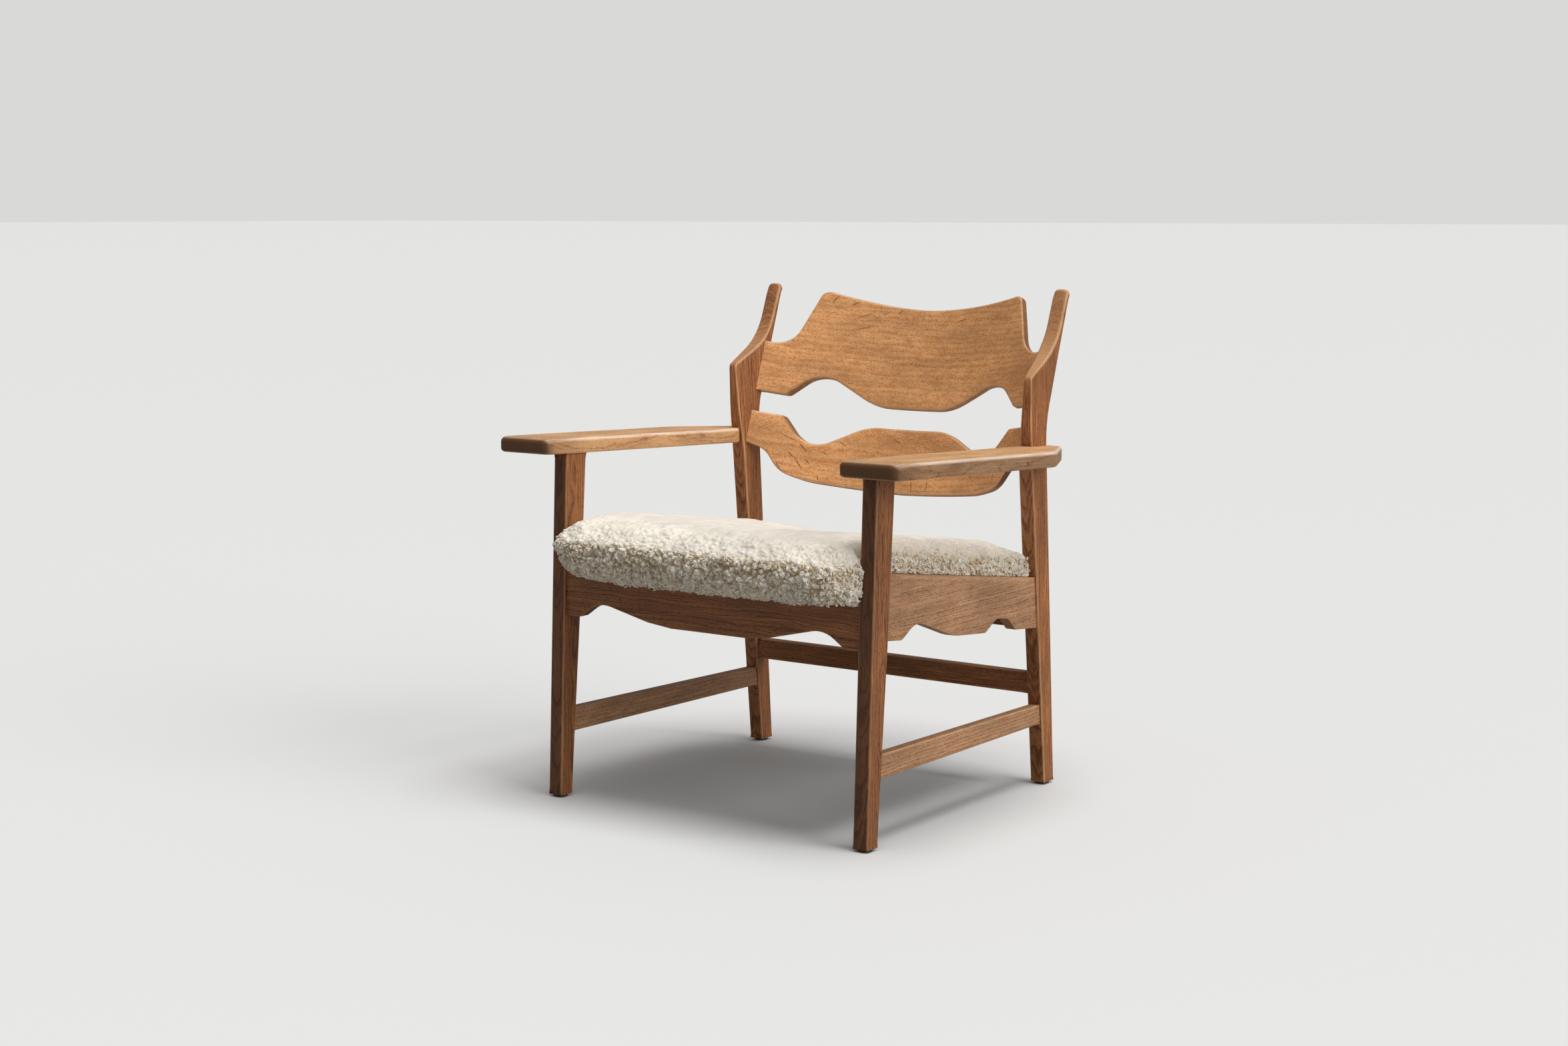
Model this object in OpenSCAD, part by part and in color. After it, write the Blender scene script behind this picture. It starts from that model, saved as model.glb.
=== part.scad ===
// Low oak lounge chair: slanted legs, winged rear posts, curved back boards with
// scalloped edges, flat armrests and an upholstered seat covered with curly sheepskin.
// The chair faces -Y, X runs across it, and the origin is on the floor at the middle
// of its outline. Millimetres.

/* [Legs and posts] */
// Thickness of legs and posts across the chair
leg_w = 26; // [24:0.5:30]
// Width over the outer faces of the front legs
front_w = 599; // [590:1:610]
// Width over the outer faces of the rear posts
rear_w = 583; // [575:1:590]
// Front leg: front edge at the foot
front_foot_y = -258; // [-264:1:-254]
// Front leg: front edge at the armrest
front_top_y = -236; // [-240:1:-232]
// Front leg: depth at the foot
front_foot_d = 27; // [25:0.5:32]
// Front leg: depth at the knee, below the aprons
front_knee_d = 39.5; // [38:0.5:43]
// Front leg: depth at the armrest
front_top_d = 46.5; // [44:0.5:50]
// Height of the front leg's knee, where its taper changes
knee_h = 288; // [270:1:290]
// Rear post: front edge at the foot
post_foot_y = 258.5; // [256:0.5:262]
// Rear post: depth at the foot
post_foot_d = 29.5; // [26:0.5:34]
// Rear post: height at which it turns back
bend_h = 578; // [570:1:586]
// Rear post: front edge at the bend
bend_y = 202; // [200:0.5:204]
// Rear post: depth at the bend
bend_d = 48; // [47:0.5:52]
// Angle at which the upper post leans back
post_lean = 19.1; // [18.6:0.1:20]
// Radius where the back of the post turns
bend_r = 160; // [100:10:200]
// How far the wing's shoulder stands ahead of the bend
shoulder_out = 2; // [0:0.5:4]
// Height of the wing's shoulder
shoulder_h = 651; // [645:1:657]
// Height from the place where the wing's upper edge turns up to the tip
wing_rise = 85.5; // [80:0.5:90]
// Depth of the post where the wing's edge turns up
wing_neck = 13; // [11:0.5:16]
// Radius of the wing's concave upper edge
wing_r = 110; // [80:5:130]
// Height of the post's tip, the top of the chair
tip_h = 781.5; // [772:0.5:790]
// Depth of the post at its tip
tip_d = 8.5; // [7:0.5:12]
// Angle of the planed bevel that thins the wing
bevel_angle = 14; // [10:0.5:16]

/* [Armrests] */
// Height of the armrest's top at its front edge
arm_h = 563; // [555:1:570]
// Slope of the armrest down to the rear
arm_slope = 2.1; // [1.7:0.1:2.5]
// Thickness of the armrest
arm_t = 24; // [20:0.5:27]
// Front edge of the armrest
arm_front_y = -290; // [-298:1:-284]
// Outer edge of the armrest at the front, from the middle of the chair
arm_out_x = 366; // [358:1:370]
// Outer edge of the armrest at its widest
arm_wide_x = 373; // [368:1:380]
// Where the outer edge turns in towards the post
arm_turn_y = 140; // [125:5:155]
// Inner edge of the armrest, from the middle of the chair
arm_in_x = 268; // [264:1:271]
// Rear end of the armrest
arm_rear_y = 262; // [256:1:268]
// Width of the strip that runs past the post, at its end
arm_strip_w = 21; // [18:1:26]
// Radius of the armrest's rounded front end
arm_nose_r = 9; // [5:0.5:10]
// Height of the tenon from the front leg into the armrest
arm_tenon_h = 15; // [10:0.5:17]

/* [Seat rails] */
// Height of the seat line midway between the feet
seat_h = 368; // [362:1:374]
// Slope of the seat down to the rear
seat_slope = 7.67; // [7:0.1:8.5]
// Thickness of the aprons
apron_t = 19; // [17:0.5:20]
// Step from a leg's outer face in to the side rails
rail_step = 4; // [2:0.5:5]
// Height of the side apron where it meets the front leg
apron_front_d = 96; // [93:1:99]
// Height of the side apron over its front arch
apron_arch_d = 69; // [64:1:74]
// Height of the side apron at its belly
apron_belly_d = 91; // [88:1:93]
// Height of the side apron over its rear notch
apron_notch_d = 65; // [60:1:70]
// Height of the side apron where it meets the rear post
apron_rear_d = 81; // [78:1:86]
// Width of the chamfer along the side apron's top edge
chamfer_w = 11; // [6:0.5:13]
// Front face of the front apron
front_apron_y = -240; // [-241:0.5:-237]
// Bottom of the front apron at its ends
front_apron_h = 286; // [282:1:290]
// Rise of the front apron's two arches
front_arch = 26; // [18:1:30]
// Front face of the rear apron
rear_apron_y = 236; // [235:0.5:239]
// Bottom of the rear apron
rear_apron_h = 254; // [250:1:258]

/* [Stretchers] */
// Thickness of the stretchers
stretcher_t = 18; // [16:0.5:20]
// Bottom of the side stretchers
side_stretcher_h = 100; // [92:1:106]
// Height of the side stretchers' section at the front
side_stretcher_d = 37; // [30:0.5:40]
// Fall of the side stretchers' top edge to the rear
stretcher_fall = 5.5; // [0:0.5:8]
// Front face of the rear stretcher
rear_stretcher_y = 246.5; // [246:0.5:250]
// Bottom of the rear stretcher
rear_stretcher_h = 147.5; // [144:0.5:160]
// Height of the rear stretcher's section
rear_stretcher_d = 34; // [28:0.5:38]

/* [Back boards] */
// Thickness of the back boards
board_t = 16; // [12:0.5:17]
// Lean of the back boards
board_lean = 18.4; // [18:0.1:19]
// Height of the line from which the boards' outlines are measured
board_h = 558; // [552:1:564]
// Front face of the boards at the posts, at that height
board_y = 224; // [222:0.5:225]
// How far the boards curve back at the middle
board_sag = 78; // [66:1:86]
// Top of the upper board at its middle, above the line
upper_mid = 220.5; // [214:0.5:226]
// Corners of the upper board's two horns, above the line
upper_horn = 241.5; // [236:0.5:246]
// Top of the upper board at the posts, above the line
upper_end_top = 138.5; // [132:0.5:142]
// Bottom of the upper board at the posts, above the line
upper_end_low = 53; // [48:0.5:58]
// Corner of the two arches under the upper board
upper_arch = 105.5; // [98:0.5:112]
// Bottom of the upper board at its middle
upper_belly = 51.5; // [46:0.5:56]
// Top of the lower board at the posts, above the line
lower_end_top = 17.5; // [12:0.5:22]
// Depth of the corner of the lower board's two notches, below the line
lower_notch = 38; // [30:0.5:44]
// Bottom of the lower board at the posts, below the line
lower_end_low = 38.5; // [34:0.5:42]
// Bottom of the lower board at its middle, below the line
lower_belly = 92; // [86:0.5:97]

/* [Seat] */
// Thickness of the seat frame
frame_t = 18; // [15:0.5:20]
// Width of the seat frame's side rails
frame_side_w = 46; // [40:1:60]
// Width of the seat frame's front and rear rails
frame_cross_w = 60; // [50:1:70]
// Overhang of the seat frame ahead of the front apron
frame_over = 14; // [6:1:18]
// Width of a webbing strap
strap_w = 48; // [40:1:52]
// Thickness of a webbing strap
strap_t = 1.6; // [1:0.1:2.5]
// Thickness of the canvas and of the dust cover
cloth_t = 0.8; // [0.5:0.1:1.2]
// Height of the sheepskin over the seat line near its sides
pad_h = 55; // [50:1:60]
// Dip of the seat's middle below its sides
pad_dip = 9; // [4:0.5:12]
// Overhang of the sheepskin ahead of the front apron
pad_over = 60; // [52:1:66]
// How far the front roll hangs below the seat line
roll_drop = 63; // [54:1:68]
// Half width of the sheepskin
pad_x = 285; // [281:1:287]
// Radius of the sheepskin's front corners in plan
pad_front_r = 58; // [50:1:66]
// Radius of the sheepskin's rear corners in plan
pad_rear_r = 45; // [38:1:50]
// Thickness of the sheepskin
skin_t = 9; // [7:0.5:10]

/* [Hardware] */
// Thickness of the foot glides
glide_h = 3.5; // [2.5:0.5:5]
// Diameter of the foot glides
glide_d = 22; // [18:1:24]
// Diameter of the glides' nails
nail_d = 2.6; // [2:0.1:3.2]
// Length of the glides' nails
nail_l = 14; // [10:1:20]
// Diameter of the armrests' dowels
dowel_d = 8; // [6:0.5:8.5]
// Length of the armrests' dowels
dowel_l = 36; // [30:1:44]
// Diameter of the screws' shanks
screw_d = 4; // [3:0.5:5]
// Diameter of the screws' heads
head_d = 8; // [7:0.5:9]
// Play round a tenon, dowel or screw in its hole
play = 0.2; // [0.1:0.05:0.3]

/* [Hidden] */
LEFT = -1;
RIGHT = 1;
far = 1200;             // longer than any part of the chair
tenon_t = 9;            // thickness of a tenon
tenon_l = 7;            // length of the tenons of side rails and boards
dowel_edge = 9;         // distance of a dowel's axis from the post's outer face
cross_tenon_l = 15;     // length of the tenons of aprons and stretcher that run across
tenon_inset = 9;        // height left at a tenon's two edges
clear = 0.3;            // gap between the upholstery or a block and its neighbours
block_l = 48;           // length of a corner block along the side apron
block_w = 62;           // length of a corner block along the cross apron
block_end = 13;         // thickness of a corner block at its ends
block_h = 40;           // height of a corner block
screw_bite = 12;        // how far a screw goes into the next piece
screw_run = 16;         // thickness of the block under a screw's head
head_h = 3;             // height of a screw's head
knee_r = 400;           // radius at the front leg's knee
waist_r = 300;          // radius at the rear post's bend, on its front edge

// Lines of the chair's side view
function mix(a, b, t) = a + (b - a) * t;
function arm_top(y) = arm_h - (y - arm_front_y) * tan(arm_slope);
function arm_under(y) = arm_top(y) - arm_t;
function seat_line(y) = seat_h - y * tan(seat_slope);
leg_top_h = arm_under(front_top_y);
function leg_front(z) = mix(front_foot_y, front_top_y, (z - glide_h) / (leg_top_h - glide_h));
knee_y = leg_front(knee_h) + front_knee_d;
function leg_rear(z) = z < knee_h
    ? mix(front_foot_y + front_foot_d, knee_y, (z - glide_h) / (knee_h - glide_h))
    : mix(knee_y, front_top_y + front_top_d, (z - knee_h) / (leg_top_h - knee_h));
function post_front(z) = mix(post_foot_y, bend_y, (z - glide_h) / (bend_h - glide_h));
function post_rear(z) = z < bend_h
    ? mix(post_foot_y + post_foot_d, bend_y + bend_d, (z - glide_h) / (bend_h - glide_h))
    : bend_y + bend_d + (z - bend_h) * tan(post_lean);

// Plan of the side rails: their outer face runs from the front leg to the rear post
rail_front_z = seat_line(leg_rear(seat_line(front_top_y)));
rail_rear_z = seat_line(post_front(seat_line(rear_apron_y)));
rail_front_y = leg_rear(rail_front_z);
rail_rear_y = post_front(rail_rear_z);
function track(y) = mix(front_w, rear_w, (y - rail_front_y) / (rail_rear_y - rail_front_y)) / 2;
function rail_out(y) = track(y) - rail_step;
function rail_in(y) = rail_out(y) - apron_t;
leg_in_x = front_w / 2 - leg_w;
post_in_x = rear_w / 2 - leg_w;
wing_turn_h = tip_h - wing_rise;

// Back boards: slices of one leaning tube, whose axis stands ahead of them
board_r = (pow(post_in_x, 2) + pow(board_sag, 2)) / (2 * board_sag);
board_axis = board_sag - board_r;

// The outline runs from the seat's front roll to the top of the upper board
pad_front_y = front_apron_y - pad_over;
chair_rear_y = board_y + upper_mid * sin(board_lean) + (board_sag + board_t) * cos(board_lean);
shift_y = -(pad_front_y + chair_rear_y) / 2;

// A polygon whose corners [x, y, radius] are rounded
function flat(p) = [p[0], p[1]];
function unit(v) = v / norm(v);
function arc_corner(a, p, b) =
    let (u = unit(flat(a) - flat(p)), v = unit(flat(b) - flat(p)))
    let (half = acos(u * v) / 2, mid = flat(p) + unit(u + v) * p[2] / sin(half))
    let (from = flat(p) + u * p[2] / tan(half) - mid, to = flat(p) + v * p[2] / tan(half) - mid)
    let (start = atan2(from[1], from[0]), turn = atan2(to[1], to[0]) - start)
    let (sweep = turn > 180 ? turn - 360 : turn < -180 ? turn + 360 : turn)
    let (steps = max(2, ceil(abs(sweep) / 7)))
    [for (i = [0:steps]) mid + p[2] * [cos(start + sweep * i / steps), sin(start + sweep * i / steps)]];
function rounded(points) =
    let (n = len(points))
    [for (i = [0:n - 1]) let (p = points[i])
        each (len(p) < 3 ? [p] : arc_corner(points[(i + n - 1) % n], p, points[(i + 1) % n]))];

// A symmetric outline from its right half, which starts and ends on the middle line
function mirrored(half) = concat(
    half,
    [for (i = [len(half) - 2:-1:1]) let (p = half[i]) len(p) < 3 ? [-p[0], p[1]] : [-p[0], p[1], p[2]]]
);

// Places: everything is drawn about the feet and moved to the middle of the outline
module placed(side = RIGHT) {
    translate([0, shift_y, 0])
        mirror([side == LEFT ? 1 : 0, 0, 0])
            children();
}

// A side view outline [y, z] extruded from x0 to x1
module side_slab(x0, x1, points) {
    translate([x0, 0, 0])
        rotate([90, 0, 90])
            linear_extrude(x1 - x0)
                polygon(points);
}

// A front view outline [x, z] extruded from y0 to y1
module front_slab(y0, y1, points) {
    translate([0, y1, 0])
        rotate([90, 0, 0])
            linear_extrude(y1 - y0)
                polygon(points);
}

module box(low, high) {
    translate(low)
        cube(high - low);
}

module oak() {
    color("#b27a44")
        children();
}

module oak_side() {
    color("#8f5f38")
        children();
}

// Tenons. With grow = play they are the mortises that take them.
module apron_tenon(front, grow = 0) {
    y = (front ? front_apron_y : rear_apron_y) + (apron_t - tenon_t) / 2;
    low = front ? front_apron_h : rear_apron_h;
    inner = front ? leg_in_x : post_in_x;
    box([inner - 1, y - grow, low + tenon_inset - grow],
        [inner + cross_tenon_l + grow, y + tenon_t + grow, seat_line(y + tenon_t) - tenon_inset + grow]);
}

module stretcher_tenon(grow = 0) {
    y = rear_stretcher_y + (stretcher_t - tenon_t) / 2;
    box([post_in_x - 1, y - grow, rear_stretcher_h + tenon_inset - grow],
        [post_in_x + cross_tenon_l + grow, y + tenon_t + grow,
            rear_stretcher_h + rear_stretcher_d - tenon_inset + grow]);
}

module board_tenon(low, high, grow = 0) {
    y = (board_t - tenon_t) / 2 + 1;
    board_place()
        box([post_in_x - 2, y - grow, low + tenon_inset - grow],
            [post_in_x + tenon_l + grow, y + tenon_t + grow, high - tenon_inset + grow]);
}

module arm_tenon(grow = 0) {
    middle = front_top_y + front_top_d / 2;
    box([leg_in_x + leg_w / 4 - grow, middle - front_top_d / 3 - grow, leg_top_h - arm_t],
        [leg_in_x + leg_w * 3 / 4 + grow, middle + front_top_d / 3 + grow, leg_top_h + arm_tenon_h + grow]);
}

// Both tenons of a side rail, between z0 and z1, at its front and rear ends
module side_tenon(front, z0, z1, thickness, grow = 0) {
    y = front ? leg_rear(z1) : post_front(z1);
    low = front ? leg_rear(z0) : post_front(z0);
    middle = rail_out(y) - thickness / 2;
    reach = front ? -tenon_l - grow : tenon_l + grow;
    side_slab(middle - tenon_t / 2 - grow, middle + tenon_t / 2 + grow, [
        [low - reach, z0 - grow], [low + reach, z0 - grow],
        [y + reach, z1 + grow], [y - reach, z1 + grow]
    ]);
}

module apron_side_tenon(front, grow = 0) {
    top = front ? rail_front_z : rail_rear_z;
    side_tenon(front, top - (front ? apron_front_d : apron_rear_d) + tenon_inset, top - tenon_inset,
        apron_t, grow);
}

module stretcher_side_tenon(front, grow = 0) {
    top = side_stretcher_h + side_stretcher_d - (front ? 0 : stretcher_fall);
    side_tenon(front, side_stretcher_h + tenon_inset, top - tenon_inset, stretcher_t, grow);
}

// The armrest's dowel, along Y from the armrest into the post
module arm_dowel(grow = 0) {
    z = (arm_top(bend_y) + arm_under(bend_y)) / 2;
    translate([rear_w / 2 - dowel_edge, post_front(z) - dowel_l / 2 - grow, z])
        rotate([-90, 0, 0])
            cylinder(h = dowel_l + 2 * grow, d = dowel_d + 2 * grow, $fn = 32);
}

// Foot glides: a disc with a nail up into the foot
module glide_place(front) {
    outer = front ? front_w / 2 : rear_w / 2;
    y = front ? front_foot_y + front_foot_d / 2 : post_foot_y + post_foot_d / 2;
    translate([outer - leg_w / 2, y, 0])
        children();
}

module glide_nail(grow = 0) {
    cylinder(h = glide_h + nail_l + grow, d = nail_d + 2 * grow, $fn = 24);
}

module foot_glide(front) {
    color("#1c1a18")
        glide_place(front) {
            cylinder(h = glide_h, d = glide_d, $fn = 48);
            glide_nail();
        }
}

// Front leg: two tapers that meet at the knee, under the armrest
module front_leg() {
    rear_top = front_top_y + front_top_d;
    oak_side() {
        difference() {
            side_slab(leg_in_x, front_w / 2, rounded([
                [front_foot_y, glide_h], [front_foot_y + front_foot_d, glide_h],
                [knee_y, knee_h, knee_r],
                [rear_top, arm_under(rear_top)], [front_top_y, leg_top_h]
            ]));
            apron_tenon(true, play);
            apron_side_tenon(true, play);
            stretcher_side_tenon(true, play);
            glide_place(true)
                glide_nail(play);
        }
        intersection() {
            arm_tenon();
            side_slab(0, far, [
                [front_top_y, leg_top_h - 1], [rear_top, arm_under(rear_top) - 1],
                [rear_top, far], [front_top_y, far]
            ]);
        }
    }
}

// Rear post: bends back at the armrest, widens to a wing and thins to a tip
function post_outline() =
    let (tip_y = post_rear(tip_h))
    rounded([
        [post_foot_y, glide_h], [post_foot_y + post_foot_d, glide_h],
        [bend_y + bend_d, bend_h, bend_r],
        [tip_y, tip_h, 4], [tip_y - tip_d, tip_h, 4],
        [post_rear(wing_turn_h) - wing_neck, wing_turn_h, wing_r],
        [bend_y - shoulder_out, shoulder_h, 5],
        [bend_y, bend_h, waist_r]
    ]);

// The plane that thins the wing starts along the boards' front face
module wing_bevel() {
    translate([post_in_x, board_y, board_h])
        rotate([-board_lean, 0, 0])
            rotate([0, 0, bevel_angle])
                box([-far, -far, -far], [0, 0, far]);
}

module rear_post() {
    oak_side()
        difference() {
            side_slab(post_in_x, rear_w / 2, post_outline());
            wing_bevel();
            apron_tenon(false, play);
            apron_side_tenon(false, play);
            stretcher_side_tenon(false, play);
            stretcher_tenon(play);
            board_tenon(upper_end_low, upper_end_top, play);
            board_tenon(-lower_end_low, lower_end_top, play);
            arm_dowel(play);
            glide_place(false)
                glide_nail(play);
        }
}

// Front apron: a flat middle and an arch at each side
module front_apron() {
    middle = front_apron_h - 1;
    rear_y = front_apron_y + apron_t;
    oak() {
        difference() {
            intersection() {
                front_slab(front_apron_y, rear_y, rounded(mirrored([
                    [0, middle], [leg_in_x - 181, middle, 200],
                    [leg_in_x - 64, front_apron_h + front_arch, 50],
                    [leg_in_x - 27, front_apron_h, 12], [leg_in_x, front_apron_h],
                    [leg_in_x, far], [0, far]
                ])));
                side_slab(-far, far, [
                    [front_apron_y, 0], [rear_y, 0],
                    [rear_y, seat_line(rear_y)], [front_apron_y, seat_line(front_apron_y)]
                ]);
            }
            for (side = [LEFT, RIGHT])
                mirror([side == LEFT ? 1 : 0, 0, 0])
                    block_screw_hole(true, false);
        }
        for (side = [LEFT, RIGHT])
            mirror([side == LEFT ? 1 : 0, 0, 0])
                apron_tenon(true);
    }
}

// Rear apron: plain, between the posts
module rear_apron() {
    rear_y = rear_apron_y + apron_t;
    oak() {
        difference() {
            side_slab(-post_in_x, post_in_x, [
                [rear_apron_y, rear_apron_h], [rear_y, rear_apron_h],
                [rear_y, seat_line(rear_y)], [rear_apron_y, seat_line(rear_apron_y)]
            ]);
            for (side = [LEFT, RIGHT])
                mirror([side == LEFT ? 1 : 0, 0, 0])
                    block_screw_hole(false, false);
        }
        for (side = [LEFT, RIGHT])
            mirror([side == LEFT ? 1 : 0, 0, 0])
                apron_tenon(false);
    }
}

// Plan of a side rail of one thickness, longer than the rail
module rail_plan(thickness) {
    front = rail_front_y - 60;
    rear = rail_rear_y + 60;
    linear_extrude(far)
        polygon([
            [rail_out(front), front], [rail_out(rear), rear],
            [rail_out(rear) - thickness, rear], [rail_out(front) - thickness, front]
        ]);
}

// The lower edge of the side apron, as [distance from the front leg, height, radius]
apron_edge = [
    [36, apron_front_d, 10], [76, apron_arch_d, 44], [182, apron_belly_d, 120]
];
// Its rear part, as [distance from the rear post, height, radius]
apron_tail = [
    [150, apron_belly_d - 4, 8], [116, apron_notch_d, 18],
    [81, apron_notch_d, 18], [58, apron_rear_d + 1.5, 8]
];

module side_apron() {
    low_front = rail_front_z - apron_front_d;
    low_rear = rail_rear_z - apron_rear_d;
    oak_side() {
        difference() {
            intersection() {
                rail_plan(apron_t);
                side_slab(0, far, rounded(concat(
                    [[leg_rear(low_front), low_front]],
                    [for (p = apron_edge) let (y = rail_front_y + p[0]) [y, seat_line(y) - p[1], p[2]]],
                    [for (p = apron_tail) let (y = rail_rear_y - p[0]) [y, seat_line(y) - p[1], p[2]]],
                    [[post_front(low_rear), low_rear],
                        [rail_rear_y, rail_rear_z], [rail_front_y, rail_front_z]]
                )));
            }
            edge_chamfer();
            block_screw_hole(true, true);
            block_screw_hole(false, true);
        }
        for (front = [true, false])
            apron_side_tenon(front);
    }
}

// A chamfer with round stops along the side apron's top outer edge
module edge_chamfer() {
    stop_r = chamfer_w * 1.6;
    front = rail_front_y + 26 + stop_r;
    rear = rail_rear_y - 14 - stop_r;
    middle = (front + rear) / 2;
    half = (rear - front) / 2 / cos(seat_slope);
    translate([rail_out(middle), middle, seat_line(middle)])
        rotate([-seat_slope, 0, atan((front_w - rear_w) / 2 / (rail_rear_y - rail_front_y))])
            rotate([0, 45, 0])
                translate([0, 0, -chamfer_w / 2])
                    linear_extrude(chamfer_w) {
                        square([2 * stop_r, 2 * half], center = true);
                        for (end = [-half, half])
                            translate([0, end])
                                circle(stop_r, $fn = 48);
                    }
}

module side_stretcher() {
    low = side_stretcher_h;
    top = low + side_stretcher_d;
    rear_top = top - stretcher_fall;
    oak_side() {
        intersection() {
            rail_plan(stretcher_t);
            side_slab(0, far, [
                [leg_rear(low), low], [post_front(low), low],
                [post_front(rear_top), rear_top], [leg_rear(top), top]
            ]);
        }
        for (front = [true, false])
            stretcher_side_tenon(front);
    }
}

module rear_stretcher() {
    top = rear_stretcher_h + rear_stretcher_d;
    rear_y = rear_stretcher_y + stretcher_t;
    oak() {
        side_slab(-post_in_x, post_in_x, rounded([
            [rear_stretcher_y, rear_stretcher_h, 4], [rear_y, rear_stretcher_h, 4],
            [rear_y, top, 4], [rear_stretcher_y, top, 4]
        ]));
        for (side = [LEFT, RIGHT])
            mirror([side == LEFT ? 1 : 0, 0, 0])
                stretcher_tenon();
    }
}

// Back boards: an outline [x, height above the line] cut from the leaning tube
module board_place() {
    translate([0, board_y, board_h])
        rotate([-board_lean, 0, 0])
            children();
}

module back_board(outline, low, high) {
    oak() {
        board_place()
            intersection() {
                front_slab(-board_sag, 2 * board_sag, outline);
                translate([0, board_axis, -far / 2])
                    difference() {
                        cylinder(h = far, r = board_r + board_t, $fn = 240);
                        translate([0, 0, -1])
                            cylinder(h = far + 2, r = board_r, $fn = 240);
                    }
            }
        for (side = [LEFT, RIGHT])
            mirror([side == LEFT ? 1 : 0, 0, 0])
                board_tenon(low, high);
    }
}

// Upper board: hollow top edge with two horns, two arches below
horn_x = 194;
horn_side_x = 231.5;
function upper_outline() = rounded(mirrored(concat(
    [[0, upper_belly], [60, upper_belly, 60], [172.5, upper_arch, 48],
        [217.5, upper_end_low, 8], [post_in_x, upper_end_low],
        [post_in_x, upper_end_top], [horn_side_x, upper_end_top, 45], [horn_x, upper_horn, 14]],
    [for (i = [10:-1:0]) let (x = horn_x * 0.09 * i)
        [x, upper_mid + (upper_horn - upper_mid) * pow(x / horn_x, 2)]]
)));

module upper_back_board() {
    back_board(upper_outline(), upper_end_low, upper_end_top);
}

// Lower board: two notches in its top edge, a belly that hangs lower than its ends
function lower_outline() = rounded(mirrored([
    [0, -lower_belly], [165, -lower_belly + 5.5, 80], [212, -lower_belly + 13, 14],
    [240, -lower_end_low - 8.5, 14], [post_in_x, -lower_end_low],
    [post_in_x, lower_end_top], [220, lower_end_top, 5], [174, -lower_notch, 50],
    [72, lower_end_top - 0.5, 40], [0, lower_end_top - 1]
]));

module lower_back_board() {
    back_board(lower_outline(), -lower_end_low, lower_end_top);
}

// Armrest: a flat board that butts the post and runs past its outer face
module armrest() {
    butt = post_front(arm_under(bend_y)) + 1;
    post_out = rear_w / 2;
    oak()
        difference() {
            intersection() {
                linear_extrude(far)
                    polygon(rounded([
                        [arm_in_x, arm_front_y, 14], [arm_out_x, arm_front_y, 12],
                        [arm_wide_x, arm_turn_y, 50], [post_out + arm_strip_w, arm_rear_y, 9],
                        [post_out, arm_rear_y], [post_out, butt], [arm_in_x, butt, 16]
                    ]));
                side_slab(0, far, rounded([
                    [arm_front_y, arm_under(arm_front_y), arm_nose_r],
                    [arm_rear_y, arm_under(arm_rear_y), 4],
                    [arm_rear_y, arm_top(arm_rear_y), 4],
                    [arm_front_y, arm_top(arm_front_y), arm_nose_r]
                ]));
            }
            side_slab(0, post_out, post_outline());
            arm_tenon(play);
            arm_dowel(play);
        }
}

module arm_dowels() {
    color("#c99a63")
        for (side = [LEFT, RIGHT])
            mirror([side == LEFT ? 1 : 0, 0, 0])
                arm_dowel();
}

// Corner blocks: d is the distance from the cross apron's inner face into the chair
function block_y(front, d) = front ? front_apron_y + apron_t + d : rear_apron_y - d;
function block_reach(front) =
    clear + (front ? rail_front_y - block_y(true, 0) : block_y(false, 0) - rail_rear_y);
function block_x(front) = (front ? leg_in_x : post_in_x) - clear;

module corner_block(front) {
    reach = block_reach(front);
    end = reach + block_l;
    inner = block_x(front) - block_w;
    outline = [
        [inner, 0], [block_x(front), 0], [block_x(front), reach],
        [rail_in(block_y(front, reach)), reach], [rail_in(block_y(front, end)), end],
        [rail_in(block_y(front, end)) - block_end, end], [inner, block_end]
    ];
    oak()
        difference() {
            intersection() {
                linear_extrude(far)
                    polygon([for (p = outline) [p[0], block_y(front, p[1])]]);
                side_slab(0, far, [
                    [-far, seat_line(-far) - block_h], [far, seat_line(far) - block_h],
                    [far, seat_line(far)], [-far, seat_line(-far)]
                ]);
            }
            block_screw_hole(front, true);
            block_screw_hole(front, false);
            seat_screw_place(front)
                wood_screw_hole(block_h);
        }
}

// A screw: its shank runs along +Z from the underside of its head at the origin
module wood_screw(length) {
    cylinder(h = length, d = screw_d, $fn = 24);
    translate([0, 0, -head_h])
        cylinder(h = head_h, d = head_d, $fn = 32);
}

module wood_screw_hole(length) {
    cylinder(h = length + play, d = screw_d + 2 * play, $fn = 24);
    translate([0, 0, -block_w])
        cylinder(h = block_w, d = head_d + 2 * play, $fn = 32);
}

// A block's two screws: one into the side apron, one into the cross apron
module block_screw_place(front, into_side) {
    d = block_reach(front) + block_l * 0.62;
    y = block_y(front, into_side ? d : screw_run);
    x = into_side ? rail_in(y) - screw_run : block_x(front) - block_w * 0.66;
    turn = into_side ? [0, 90, 0] : [front ? 90 : -90, 0, 0];
    translate([x, y, seat_line(y) - block_h / 2])
        rotate(turn)
            children();
}

module block_screw_hole(front, into_side) {
    block_screw_place(front, into_side)
        wood_screw_hole(screw_run + screw_bite);
}

module corner_block_screws() {
    color("silver")
        for (side = [LEFT, RIGHT], front = [true, false], into_side = [true, false])
            mirror([side == LEFT ? 1 : 0, 0, 0])
                block_screw_place(front, into_side)
                    wood_screw(screw_run + screw_bite);
}

// The seat's plane: X across, Y down the slope, Z up from the seat line
module on_seat() {
    translate([0, 0, seat_h])
        rotate([-seat_slope, 0, 0])
            children();
}

function slope_y(y) = y / cos(seat_slope);

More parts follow.
